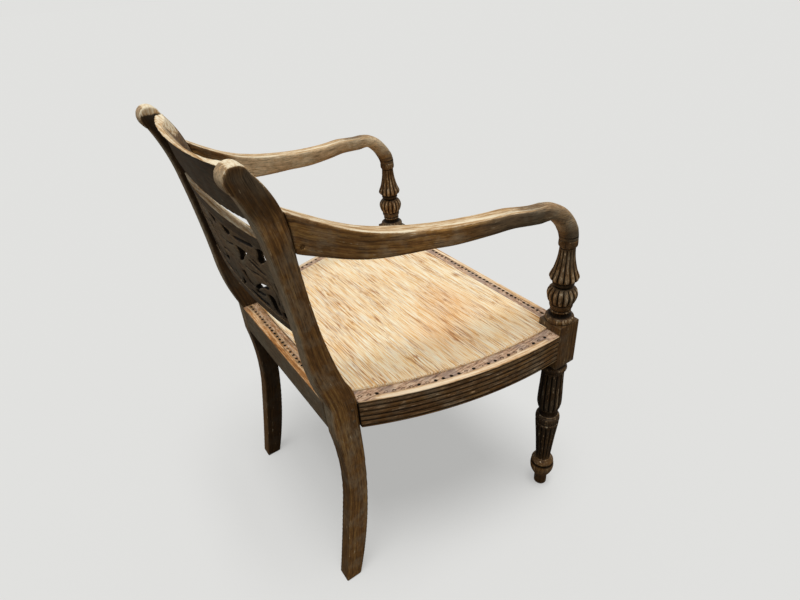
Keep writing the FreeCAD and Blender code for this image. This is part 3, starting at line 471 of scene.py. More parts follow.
def boardMaterial(name):
    look = boardLook
    material, add = newMaterial(name)
    place = add("TexCoord", out="Object")
    sway = add("TexNoise", {"Vector": place, "Scale": 12.0, "Detail": 3.0}, out="Color")
    centred = add("VectorMath", {0: sway, 1: (0.5, 0.5, 0.5)}, operation="SUBTRACT")
    small = add("VectorMath", {0: centred, 1: (0.0, look["sway"], 0.0)}, operation="MULTIPLY")
    bent = add("VectorMath", {0: place, 1: small}, operation="ADD")

    def drawnOut(stretch, scale, detail, shift=0.0):
        # a pattern drawn out along the grain
        along = add("Mapping", {
            "Vector": bent, "Location": (shift, shift, 0.0), "Scale": (1 / stretch, 1.0, 1.0)})
        return add("TexNoise", {"Vector": along, "Scale": scale / mm, "Detail": detail, "Roughness": 0.7})

    def blended(share, below, hexText, kind="MIX"):
        return add("Mix", {0: share, 6: below, 7: linearColour(hexText)},
                   data_type="RGBA", blend_type=kind, out=2)

    streaks = drawnOut(look["streakStretch"], 0.5 / look["streakWidth"], 5.0)
    colour = add("ValToRGB", {"Fac": streaks}, stops=look["stops"])
    areas = add("TexNoise", {"Vector": place, "Scale": 1 / (look["fade"] * mm), "Detail": 3.0})
    warmShare = add("MapRange", {
        "Value": areas, "From Min": 0.42, "From Max": 0.68, "To Min": 0.0, "To Max": look["warmShare"]})
    across = add("SeparateXYZ", {0: place})
    nearShare = add("MapRange", {
        "Value": across, "From Min": -0.1, "From Max": -0.24, "To Min": 0.0, "To Max": look["nearWarm"]})
    warmth = add("Math", {0: warmShare, 1: nearShare}, operation="ADD")
    colour = blended(warmth, colour, look["warm"], "MULTIPLY")
    broken = drawnOut(look["breakStretch"], 1 / look["breakLength"], 2.0, 0.5)
    lineFade = add("MapRange", {"Value": broken, "From Min": 0.38, "From Max": 0.6})
    # thin lines, where a noise crosses its middle
    for pitch, width, strength, shift in (("linePitch", 0.034, 0.95, 0.1), ("finePitch", 0.045, 0.7, 0.7)):
        noise = drawnOut(look["lineStretch"], 1 / look[pitch], 1.5, shift)
        away = add("Math", {0: noise, 1: 0.5}, operation="SUBTRACT")
        beside = add("Math", {0: away}, operation="ABSOLUTE")
        lines = add("MapRange", {
            "Value": beside, "From Min": 0.0, "From Max": width, "To Min": strength, "To Max": 0.0})
        colour = blended(add("Math", {0: lines, 1: lineFade}, operation="MULTIPLY"), colour, look["line"])
    scratches = drawnOut(look["scratchStretch"], 0.4 / look["scratchWidth"], 3.0, 0.3)
    torn = add("MapRange", {"Value": scratches, "From Min": 0.63, "From Max": 0.71,
                            "To Min": 0.0, "To Max": look["scratchShare"]})
    colour = blended(torn, colour, look["scratch"])
    for spots, tint in (("blushes", "blushColour"), ("knots", "knotColour")):
        for x, y, size, most in look[spots]:
            away = add("VectorMath", {0: bent, 1: (x * mm, y * mm, look["top"])}, operation="SUBTRACT")
            flat = add("VectorMath", {0: away, 1: (0.6, 1.0, 0.0)}, operation="MULTIPLY")
            reach = add("VectorMath", {0: flat}, operation="LENGTH", out="Value")
            share = add("MapRange", {"Value": reach, "From Min": size * mm * 0.2, "From Max": size * mm,
                                     "To Min": most, "To Max": 0.0})
            colour = blended(share, colour, look[tint], "MULTIPLY")
    relief = add("Math", {0: scratches, 1: -0.7, 2: streaks}, operation="MULTIPLY_ADD")
    bump = add("Bump", {"Height": relief, "Strength": 0.6, "Distance": 0.8 * mm})
    shader = add("BsdfPrincipled", {"Base Color": colour, "Roughness": look["roughness"], "Normal": bump,
                                    "IOR": 1.5, "Specular IOR Level": look["gloss"]})
    add("OutputMaterial", {"Surface": shader})
    return material


bareBoard = boardMaterial("bareTeakBoard")
print("seat finishes made")


def marks(strengths, **places):
    # adds up marks of wear, tone or dust, each at its named strength, on what the whole piece has
    return strengths["all"] + sum(strengths[key] * place for key, place in places.items())


def readAt(pairs, value):
    # the second number of the pairs, at a value of the first
    return np.interp(value, *zip(*pairs))


def inZone(look, key, value):
    # 0 to 1 across one of a piece's named zones
    return easeBetween(*look["zones"][key], value)


def edgesOf(piece, look):
    return np.maximum(proudness(piece) - look["leastEdge"], 0)


# Rear posts, each sawn from one plank: sabre leg, waist at the seat, and an upright that rolls back
rearPost = {
    "front": 147.5, "depth": 45.0, "seat": 430.0, "back": 406.0, "rake": 120.0,
    "footRake": 48.5, "footDepth": 31.0, "thickness": 30.0, "spread": 189.0,
    "footSplay": 6.0, "topSplay": 9.6, "splayShare": 0.867, "voxel": 1.9, "rubs": 3,
    "wear": {"edge": 3.2, "roll": 1.6, "over": 1.3, "ring": 0.7, "all": -0.14},
    # the tone's inner and behindLow marks are painted shade, its behind mark painted light
    "tone": {"outer": 1.0, "inner": -0.84, "rolled": 1.2, "behind": 0.7, "behindLow": -0.3, "all": 0.15},
    "outerTone": [(0.4, 0.45), (0.66, 0.4), (0.71, 0.1), (0.75, 0.85), (0.775, -0.4)],    # m up, and tone
    "dust": 0.75, "leastEdge": 0.06, "notRearShare": 0.8, "edgeCalm": 0.8, "grain": (0.01, 0.82),
    # from nothing to all of it: m up, and how a face looks
    "zones": {"roll": (0.79, 0.822), "ring": (0.785, 0.81), "over": (0.819, 0.827), "calm": (0.785, 0.8),
              "rolled": (0.77, 0.8), "behind": (0.3, 0.45), "behindLow": (0.4, 0.3), "upward": (0.3, 0.8),
              "rearward": (0.15, 0.6), "tilted": (0.35, 0.5), "notSide": (0.95, 0.8), "side": (0.5, 0.9)},
}


def postOutline():
    p = rearPost
    rear = p["front"] + p["depth"]
    lower = p["footRake"] + p["footDepth"] - p["depth"]

    def high(share):
        return p["front"] + p["rake"] * share[0], p["seat"] + p["back"] * share[1]

    def lowFront(share):
        return p["front"] + p["footRake"] * share[0], p["seat"] * share[1]

    def lowRear(share):
        return rear + lower * share[0], p["seat"] * share[1]

    run = [(p["front"] + p["footRake"], 0.0)]
    run += arcRun(run[-1], lowFront((0.258, 0.372)), lowFront((0.0, 0.767)), 30)
    run.append((p["front"], p["seat"]))
    for through, end in [((0.029, 0.051), (0.107, 0.102)), ((0.235, 0.243), (0.343, 0.413)),
                         ((0.412, 0.578), (0.456, 0.739)), ((0.535, 0.868), (0.728, 0.968)),
                         ((0.872, 1.0), (1.0, 0.968)), ((0.996, 0.939), (0.926, 0.913)),
                         ((0.806, 0.820), (0.723, 0.716)), ((0.632, 0.510), (0.566, 0.289))]:
        run += arcRun(run[-1], high(through), high(end), 18)
    waist = (rear + (p["rake"] - p["depth"]) * 0.22, p["seat"] + p["back"] * 0.145)
    run += arcRun(run[-1], waist, (rear, p["seat"]))
    run.append(lowRear((0.0, 0.85)))
    run += arcRun(run[-1], lowRear((-0.188, 0.616)), lowRear((0.072, 0.419)))
    run += arcRun(run[-1], lowRear((0.464, 0.233)), (rear + lower, 0.0))
    return np.array(run) * mm


def postFront(z):
    # the posts' front edge, above the seat, at a height
    upper = postOutline()
    upper = upper[:np.argmax(upper[:, 1])]
    return np.interp(z, upper[:, 1], upper[:, 0])


def buildPost(name, side, node):
    look = rearPost
    half = look["thickness"] * 0.5 * mm
    piece = prism(name, *([(x, y, z) for y, z in postOutline()] for x in (-half, half)))
    softened(piece, look["voxel"], look["rubs"])
    where = pointsOf(piece)
    x, _, z = where.T
    seat = look["seat"] * mm
    low = np.clip(1 - z / (seat * look["splayShare"]), 0, 1) * look["footSplay"] * mm
    high = np.clip((z - seat) / (look["back"] * mm), 0, 1) * look["topSplay"] * mm
    x += side * (look["spread"] * mm + low + high)
    z[:] = np.maximum(z, 0)
    movePoints(piece, where)
    across, rear, up = normalsOf(piece).T
    sideways, rear = np.abs(across), np.maximum(rear, 0)
    roll = inZone(look, "roll", z) * inZone(look, "upward", up)
    roll *= (1 - look["notRearShare"] * inZone(look, "rearward", rear)) * (1 - inZone(look, "side", sideways))
    ring = inZone(look, "ring", z) * inZone(look, "tilted", sideways) * inZone(look, "notSide", sideways)
    edge = edgesOf(piece, look) * (1 - look["edgeCalm"] * inZone(look, "calm", z))
    # the sides are darker above the arms; where they face each other painted shade makes them near black
    # painted light lightens the rear faces above the seat, which dust also greys, and painted shade darkens
    # them below it
    behind = rear * inZone(look, "behind", z)
    setAttributes(
        piece,
        wear=marks(look["wear"], edge=edge, roll=roll, ring=ring,
                   over=inZone(look, "over", z) * (across * side < -0.5)),
        tone=marks(look["tone"], outer=readAt(look["outerTone"], z) * np.maximum(across * side, 0),
                   inner=np.maximum(-across * side, 0), rolled=rear * inZone(look, "rolled", z),
                   behind=behind, behindLow=rear * inZone(look, "behindLow", z)),
        dust=look["dust"] * behind)
    followGrain(piece, 2, *look["grain"])
    return finishPiece(piece, teakSwept["Z"], node)


buildPost("rearPostRight", -1, "rear_post_right")
buildPost("rearPostLeft", 1, "rear_post_left")
print("rear posts made")


# Arms: the CAD's lofted shape, softened, fuller in front, with a round bend at the crook, worn along the top
armLook = {
    "voxel": 1.7, "rubs": 2, "underFuller": 3.0, "topFuller": 2.0,    # mm
    "bendRubs": 45, "bendFuller": 1.0, "bendShift": 1.2,
    # a repair's seam, in m
    "scarf": {"high": 0.6115, "slope": 0.03, "front": -0.24, "rear": -0.2, "width": 0.0008},
    # atPost and postToneShare darken the arm beside the post as painted shade
    "wear": {"edge": 2.6, "top": 0.95, "inner": 0.4, "scarf": -1.4, "atPost": -0.6, "all": -0.05},
    "tone": {"outer": 1.0, "inner": 2.6, "bend": 1.3, "all": 0.0},
    "dust": {"inner": 0.85, "grey": 0.5, "all": 0.0},
    # m from the middle, and the outer side's tone
    "outerTone": [(-0.2, -0.2), (-0.14, -0.1), (-0.07, 0.25), (-0.02, 1.4), (0.03, 1.6), (0.12, 0.7)],
    "leastEdge": 0.05, "frontWearShare": 0.3, "postToneShare": 0.9, "bendDust": 0.7, "grain": (-0.19, 0.21),
    # from nothing to all of it: m from the middle or m up, and how a face looks
    "zones": {"underFrom": (-0.19, -0.16), "underTo": (0.03, -0.03), "topFrom": (-0.08, -0.12),
              "topTo": (-0.21, -0.17), "bend": (-0.16, -0.2), "bendHigh": (0.615, 0.64),
              "reach": (-0.2, -0.06), "high": (0.62, 0.7), "atPost": (0.125, 0.15), "grey": (-0.03, -0.1),
              "down": (-0.2, -0.7), "upward": (0.5, 0.8)},
}


def buildArm(name, side, node):
    look = armLook
    piece = softened(copyOfNode(node, name), look["voxel"], look["rubs"])
    where = pointsOf(piece)
    _, y, z = where.T
    under = inZone(look, "underFrom", y) * inZone(look, "underTo", y)
    z -= look["underFuller"] * mm * under * inZone(look, "down", normalsOf(piece)[:, 2])
    bend = inZone(look, "bend", y) * inZone(look, "bendHigh", z)
    z += look["topFuller"] * mm * inZone(look, "topFrom", y) * inZone(look, "topTo", y)
    movePoints(piece, where)
    # the crook's inner corner is a smooth bend
    group = piece.vertex_groups.new(name="crook")
    group.add([int(i) for i in np.flatnonzero(bend > 0.5)], 1.0, "REPLACE")
    rub = piece.modifiers.new("rub", "SMOOTH")
    rub.factor, rub.iterations, rub.vertex_group = 0.5, look["bendRubs"], "crook"
    plainMesh(piece)
    where = pointsOf(piece) + normalsOf(piece) * (look["bendFuller"] * mm * bend)[:, None]
    _, y, z = where.T
    y -= look["bendShift"] * mm * bend
    z += look["bendShift"] * mm * bend
    movePoints(piece, where)
    across, _, up = normalsOf(piece).T
    outer, inner = np.maximum(across * side, 0), np.maximum(-across * side, 0)
    top = inZone(look, "upward", up)
    level = inZone(look, "high", z) * inner
    atPost = inZone(look, "atPost", y)
    reach = look["frontWearShare"] + (1 - look["frontWearShare"]) * inZone(look, "reach", y)
    seam = look["scarf"]
    scarf = np.exp(-((z - seam["high"] - seam["slope"] * (y - seam["front"])) / seam["width"]) ** 2)
    # beside the post the arm's inner face loses most of its lightening and is darkened: painted shade cast by
    # the post
    setAttributes(
        piece,
        wear=marks(look["wear"], edge=edgesOf(piece, look), top=top * reach, inner=level,
                   scarf=scarf * (y < seam["rear"]), atPost=atPost * (1 - top) * (inner > 0.3)),
        tone=marks(look["tone"], outer=readAt(look["outerTone"], y) * outer,
                   inner=level * (1 - look["postToneShare"] * atPost), bend=bend),
        dust=marks(look["dust"], inner=level * (1 - atPost),
                   grey=np.maximum(bend * look["bendDust"], inZone(look, "grey", y) * outer)))
    followGrain(piece, 1, *look["grain"])
    return finishPiece(piece, teakSwept["Y"], node)


buildArm("armRight", -1, "arm_right")
buildArm("armLeft", 1, "arm_left")
print("arms made")


# Back rails and panel: flat shapes, bent backwards in plan and leaned with the posts. All in mm.
backBend = {"rear": 220.5, "sag": 19.5, "half": 213.6, "level": 722.0, "lean": 0.127}
backRails = {
    "crest": {**backBend, "low": 740.0, "high": 812.0, "lowLift": 10.0, "highLift": 9.0, "thickness": 13.0,
              "rear": 240.5, "sag": 13.5, "level": 812.0, "lean": 0.19, "topWear": 1.1,
              "rollFrom": 765.0, "rollBack": 11.0, "endRoll": -12.0, "rise": 6.0, "topShare": 0.5,
              "endInset": 1.5},
    "middle": {**backBend, "low": 704.0, "high": 722.0, "lowLift": 0.0, "highLift": 0.0, "thickness": 14.0,
               "topWear": 1.1},
    "lower": {**backBend, "low": 565.0, "high": 580.0, "lowLift": 0.0, "highLift": 0.0, "thickness": 12.0,
              "topWear": 0.3},
}
backFinish = {
    "gap": 0.3, "nudge": 0.001,    # the nudge keeps a straight edge's three places off one line
    # its tone is painted shade on the rear faces; its dust greys them
    "voxel": 1.25, "rubs": 5, "dust": 0.35, "tone": -0.42,
    "wear": {"edge": 2.4, "all": -0.15}, "slopeWear": 1.4, "leastEdge": 0.06,
    # from nothing to all of it: how a face looks, shares of the way out to the posts, and m up
    "zones": {"upward": (0.3, 0.75), "notDown": (-0.25, 0.05), "rearward": (0.2, 0.8),
              "out": (0.5, 0.75), "flush": (0.55, 1.0), "crown": (0.788, 0.806)},
}


def postFace(z):
    # the posts' inner faces, from the middle, at a height in mm
    p = rearPost
    return p["spread"] - p["thickness"] * 0.5 + p["topSplay"] * (z - p["seat"]) / p["back"]


def bowedRear(look, x, z):
    # the rear face's Y for an X and Z, all in mm
    radius = (look["half"] ** 2 + look["sag"] ** 2) / (2 * look["sag"])
    bow = np.sqrt(np.maximum(radius ** 2 - x ** 2, 0)) - (radius - look["sag"])
    return look["rear"] + bow + (z - look["level"]) * look["lean"]


def buildBackRail(name, key, node):
    look, finish = backRails[key], backFinish
    ends = postFace((look["low"] + look["high"]) * 0.5) - finish["gap"]
    outline = []
    for edge, end in (("high", ends), ("low", -ends)):
        corner = look[edge] + look[edge + "Lift"]
        middle = (0, look[edge] - finish["nudge"])
        outline += [(end, corner)] + arcRun((end, corner), middle, (-end, corner), 24)
    piece = prism(name, *([(x * mm, y * mm, z * mm) for x, z in outline] for y in (-look["thickness"], 0)))
    softened(piece, finish["voxel"], finish["rubs"])
    where = pointsOf(piece)
    x, y, z = where.T
    out = np.clip(np.abs(x) / (ends * mm), 0, 1)
    x *= 1 + (postFace(z / mm) - finish["gap"] - ends) / ends * out ** 4
    rolled = "rollFrom" in look
    if rolled:
        # the top thins and rolls back, most of all beside the posts
        rise = np.clip((z / mm - look["rollFrom"]) / (look["high"] - look["rollFrom"]), 0, 1.2)
        inward = -y / (look["thickness"] * mm)
        y *= 1 - (1 - look["topShare"]) * rise ** 2 * (1 - out ** 2)
        y += (look["rollBack"] + look["endRoll"] * out ** 2) * rise ** 3 * mm
        z += look["rise"] * (1 - out ** 2) * rise ** 2 * mm
    y += bowedRear(look, x / mm, z / mm) * mm
    if rolled:
        # its front runs out to the posts' front beside them
        flush = np.minimum(postFront(z) + look["endInset"] * mm - y, 0)
        y += flush * inward * inZone(finish, "flush", out)
    movePoints(piece, where)
    _, rear, up = normalsOf(piece).T
    sloping = inZone(finish, "notDown", up) * (rear < 0.3) * inZone(finish, "out", out) * rolled
    sloping *= inZone(finish, "crown", z) * finish["slopeWear"]
    top = np.maximum(inZone(finish, "upward", up), sloping)
    # the rear faces are darkened as painted shade and greyed with dust
    behind = inZone(finish, "rearward", rear)
    setAttributes(piece, wear=marks(finish["wear"], edge=edgesOf(piece, finish)) + top * look["topWear"],
                  tone=finish["tone"] * behind, dust=finish["dust"] * behind)
    return finishPiece(piece, teakAlong["X"], node)


buildBackRail("crestRail", "crest", "crest_rail")
buildBackRail("backMiddleRail", "middle", "back_mid_rail")
buildBackRail("backLowerRail", "lower", "back_lower_rail")
print("back rails made")


# Pierced and carved panel: piercings and grooves as half outlines in mm from the middle and above
# the panel's foot, the same on both sides
panelLook = {
    **backBend, "rear": 219.0,
    "foot": 578.0, "head": 706.0, "thickness": 11.0, "gap": 0.6, "cell": 1.15, "step": 3.0, "edgeRound": 2.2,
    "grooveHalf": 3.4, "grooveDepth": 2.6, "hollowDepth": 3.4, "shadeAndDirtReach": 1.2, "wallShadeAndDirt": 1.3,
    "wear": {"proud": 1.0, "deep": -0.9, "all": -0.12}, "tone": {"low": -0.6, "all": 0.2}, "dust": 0.4,
    "zones": {"low": (0.64, 0.6)},    # m up
    "piercings": [
        [(13, 117), (32, 118), (49, 116), (30, 105), (18, 108)],
        [(53, 95), (72, 97), (91, 97), (78, 88), (61, 74), (45, 67), (55, 82)],
        [(135, 119), (150, 123), (165, 120), (160, 112), (131, 95), (127, 100), (134, 110)],
        [(30, 41), (45, 46), (48, 35), (67, 28), (46, 26)],
        [(67, 27), (84, 39), (103, 48), (127, 53), (120, 46), (104, 42), (88, 34), (73, 25)],
        [(28, 6), (48, 10), (76, 11), (104, 10), (92, 4), (60, 3)],
        [(112, 33), (125, 37), (133, 34), (134, 20), (137, 8), (127, 4), (118, 8), (115, 20)],
        [(154, 71), (161, 71), (161, 60), (156, 51), (152, 59)],
        [(144, 16), (154, 18), (151, 8), (144, 7)],
        [(4, 4), (14, 10), (22, 16), (16, 22), (8, 14)],
    ],
    "hollows": [
        [(54, 113), (84, 119), (126, 124), (122, 117), (84, 111), (60, 109)],
        [(88, 88), (112, 84), (137, 77), (124, 74), (104, 77), (88, 82)],
        [(101, 95), (114, 93), (127, 88), (116, 86), (104, 89)],
        [(64, 22), (84, 27), (104, 30), (100, 24), (84, 19), (66, 16)],
    ],
    "grooves": [
        [(4, 84), (20, 86), (40, 92)],
        [(6, 60), (24, 58), (40, 54)],
        [(128, 68), (140, 60), (146, 44), (142, 28)],
        [(60, 62), (82, 62), (110, 66), (126, 62)],
    ],
}


def distanceToRun(x, z, places):
    # the distance from a grid of points to a smooth line through the places, and whether they are inside it
    line = smoothRun(places, panelLook["step"])
    best = np.full(x.shape, 1e9)
    inside = np.zeros(x.shape, dtype=bool)
    for (ax, az), (bx, bz) in zip(line, line[1:]):
        dx, dz = bx - ax, bz - az
        t = np.clip(((x - ax) * dx + (z - az) * dz) / (dx * dx + dz * dz + 1e-9), 0, 1)
        best = np.minimum(best, np.hypot(x - ax - t * dx, z - az - t * dz))
        with np.errstate(divide="ignore", invalid="ignore"):
            inside ^= ((az > z) != (bz > z)) & (x < dx * (z - az) / dz + ax)
    return best, inside


def carvedDepth(x, z):
    look = panelLook
    depth = np.zeros(x.shape)
    for groove in look["grooves"]:
        gap, _ = distanceToRun(np.abs(x), z, groove)
        depth = np.maximum(depth, np.clip(1 - gap / look["grooveHalf"], 0, 1) ** 1.2 * look["grooveDepth"])
    for hollow in look["hollows"]:
        gap, inside = distanceToRun(np.abs(x), z, hollow + hollow[:1])
        sunk = np.clip(gap / look["hollowDepth"] + 0.3, 0, 1) * inside
        depth = np.maximum(depth, sunk * look["hollowDepth"])
    return depth


def buildPanel(name, node):
    look = panelLook
    cell, edgeRound = look["cell"], look["edgeRound"]
    high = look["head"] - look["foot"]
    ends = postFace(look["foot"]) - look["gap"]
    columns, rows = round(2 * ends / cell), round(high / cell)
    x, z = np.meshgrid(np.linspace(-ends, ends, columns + 1), np.linspace(0, high, rows + 1))
    away = np.full(x.shape, 1e9)
    for piercing in look["piercings"]:
        gap, inside = distanceToRun(np.abs(x), z, piercing + piercing[:1])
        away = np.minimum(away, np.where(inside, -gap, gap))
    # points near a piercing move onto its edge
    gradientZ, gradientX = np.gradient(away, cell)
    near = np.abs(away) < cell * 0.75
    x = np.where(near, x - away * gradientX, x)
    z = np.where(near, z - away * gradientZ, z)
    away = np.where(near, 0, away)
    half = look["thickness"] * 0.5
    depth = carvedDepth(x, z)
    level = (edgeRound - np.clip(away, 0, edgeRound)) ** 2
    front = half - (edgeRound - np.sqrt(np.maximum(edgeRound ** 2 - level, 0))) - depth
    solid = away >= 0
    kept = solid[:-1, :-1] & solid[1:, :-1] & solid[:-1, 1:] & solid[1:, 1:]
    width = columns + 1
    total = width * (rows + 1)
    # two carved skins, and walls between them through a line of points at half depth
    where = np.concatenate([np.stack([x, y, z], -1).reshape(-1, 3) for y in (-front, front, front * 0)])
    where[:, 2] += look["foot"]
    where[:, 1] += bowedRear(look, where[:, 0], where[:, 2]) - half
    faces = []
    padded = np.pad(kept, 1)
    for r, c in np.argwhere(kept):
        a, b = r * width + c, (r + 1) * width + c
        faces += [(a, a + 1, b + 1, b), (total + b, total + b + 1, total + a + 1, total + a)]
        for beside, p, q in ((padded[r, c + 1], a, a + 1), (padded[r + 2, c + 1], b + 1, b),
                             (padded[r + 1, c], b, a), (padded[r + 1, c + 2], a + 1, b + 1)):
            if not beside:
                farQ, farP, midQ, midP = q + total, p + total, q + 2 * total, p + 2 * total
                faces += [(q, p, midP, midQ), (midQ, midP, farP, farQ)]
    piece = newPiece(name, where * mm, faces)
    # the grooves, hollows, piercings' rims and walls are darkened: painted shade in the recesses, with dirt
    edging = np.clip(1 - away.ravel() / look["shadeAndDirtReach"], 0, 1)
    skins = np.tile(np.maximum(depth.ravel() / look["grooveDepth"], edging), 3)
    setAttributes(piece, deep=np.maximum(np.repeat([0.0, 0.0, look["wallShadeAndDirt"]], total), skins))
    reworked(piece, lambda soup: bmesh.ops.delete(
        soup, geom=[v for v in soup.verts if not v.link_faces], context="VERTS"))
    deep = attributeOf(piece, "deep")
    proud = np.clip(proudness(piece, 1) * 2.0, -0.2, 0.4) * np.maximum(1 - deep, 0)
    setAttributes(piece, wear=marks(look["wear"], proud=proud, deep=deep),
                  tone=marks(look["tone"], low=inZone(look, "low", pointsOf(piece)[:, 2])),
                  dust=np.full(len(deep), look["dust"]))
    return finishPiece(piece, teakCarved, node)


buildPanel("piercedPanel", "pierced_back_panel")
print("panel made")


# Seat rails: stations along each rail, and a section from its outer face inwards. All in mm.
seatRails = {
    "top": 430.0, "bottom": 373.0, "width": 42.0, "rebate": 29.7, "recess": 418.0,
    "reeds": 5, "reedDepth": 3.4, "reedTop": 426.5, "reedBottom": 376.5,
    "frontReach": 293.5, "middleReach": 276.0, "rearReach": 210.5,
    "frontEnd": -216.5, "rearEnd": 147.5, "frontFace": -262.0, "rearFace": 192.5,
    "frontHalf": 244.3, "rearHalf": 173.8, "endCrust": 0.75, "endWear": 0.7,
    # in from the outer face, wear, and how much crust, across the top
    "topMarks": [(4, 1.2, 0), (7, 1.15, 0), (9.5, 0.9, 0.1), (11.5, 0.5, 0.5), (13.5, 0.1, 0.9),
                 (16.5, 0.1, 0.95), (19, 0.3, 0.9), (23, 0.5, 0.75), (26, 0.3, 0.8), (28.6, 0.0, 0.8)],
    "reedCrown": 0.35, "reedGrooveDark": -1.6, "zones": {"ends": (0.12, 0.03)},    # shares of the rail's length
    "rearTone": 0.05, "rearDust": 0.6, "rearCrustShare": 0.55, "rearWearShare": 0.3, "rearWear": 0.42,
}
# Caning holes: a row of drilled holes along the top of each rail, cut by one node tree. In mm.
caningHoles = {
    "inset": 14.5, "pitch": 13.4, "crossPitch": 11.5, "radius": 2.5, "depth": 26.0, "sides": 12, "seed": 7,
    "plugRadius": 2.3, "plugLength": 8.0, "sideEnd": 8.0, "frontHalf": 236.0, "rearHalf": 166.0,
    "astray": 0.6, "plugLow": 0.7, "plugHigh": 0.2,
    "sidePlugged": 0.65, "frontPlugged": 0.15, "rearPlugged": 0.25,
}


def railSection(reeded):
    # (distance in from the outer face, height, wear, band) round the section, from the outer top edge inwards
    r = seatRails
    run = [(0.7, r["top"] - 0.7, 0.95, 0), (1.8, r["top"], 1.15, 0)]
    run += [(inset, r["top"], wear, band) for inset, wear, band in r["topMarks"]]
    run += [(r["rebate"], r["top"] - 1.0, -0.5, 0.4), (r["rebate"], r["recess"], -0.8, 0),
            (r["width"], r["recess"], -0.4, 0), (r["width"], r["bottom"] + 1.2, -0.1, 0),
            (r["width"] - 1.2, r["bottom"], 0.0, 0), (1.6, r["bottom"], 0.0, 0),
            (0.4, r["bottom"] + 0.8, 0.1, 0)]
    if not reeded:
        return run + [(0.0, z, -0.1, 0) for z in np.linspace(r["bottom"] + 2, r["top"] - 2, 8)]
    tall = (r["reedTop"] - r["reedBottom"]) / r["reeds"]
    run.append((0.0, r["reedBottom"] - 1.0, 0.0, 0))
    # the reeds' crowns are paler and the grooves between them darker
    for reed in range(r["reeds"]):
        for t in np.linspace(-1, 1, 11)[:-1]:
            inward = 1 - math.sqrt(max(0, 1 - t * t))
            run.append((r["reedDepth"] * inward, r["reedBottom"] + tall * (reed + (t + 1) / 2),
                        r["reedCrown"] + r["reedGrooveDark"] * inward ** 0.85, 0))
    return run + [(r["reedDepth"], r["reedTop"], -1.1, 0), (0.0, r["reedTop"] + 0.9, 0.1, 0)]


def buildRail(name, stations, reeded):
    # stations are (outer x, outer y, inward x, inward y), in mm
    r, section = seatRails, railSection(reeded)
    count, last = len(section), len(stations) - 1
    vertices, wear, band, flow = [], [], [], []
    for s, (ox, oy, ix, iy) in enumerate(stations):
        end = float(inZone(r, "ends", min(s / last, 1 - s / last)))
        for inset, z, worn, crust in section:
            onTop = end if z == r["top"] else 0
            vertices.append(((ox + ix * inset) * mm, (oy + iy * inset) * mm, z * mm))
            flow.append((inset * mm, oy * mm, z * mm))
            wear.append(worn * (1 - r["endWear"] * onTop))
            band.append(crust + (r["endCrust"] - crust) * onTop)
    faces = [(s + k, s + (k + 1) % count, s + (k + 1) % count + count, s + k + count)
             for s in range(0, last * count, count) for k in range(count)]
    faces += [range(count - 1, -1, -1), range(last * count, len(vertices))]
    piece = reworked(newPiece(name, vertices, faces), lambda soup: bmesh.ops.triangulate(
        soup, faces=[f for f in soup.faces if len(f.verts) > 4]), normalsOut)
    setAttributes(piece, wear=wear, band=band)
    setFlow(piece, flow)
    return piece


def sideReach(y):
    # the side rails' outer face, from the middle plane
    r = seatRails
    start, end = (r["frontEnd"], r["frontReach"]), (r["rearEnd"], r["rearReach"])
    places = [start] + arcRun(start, ((start[0] + end[0]) / 2, r["middleReach"]), end, 200)
    return float(readAt(places, y))


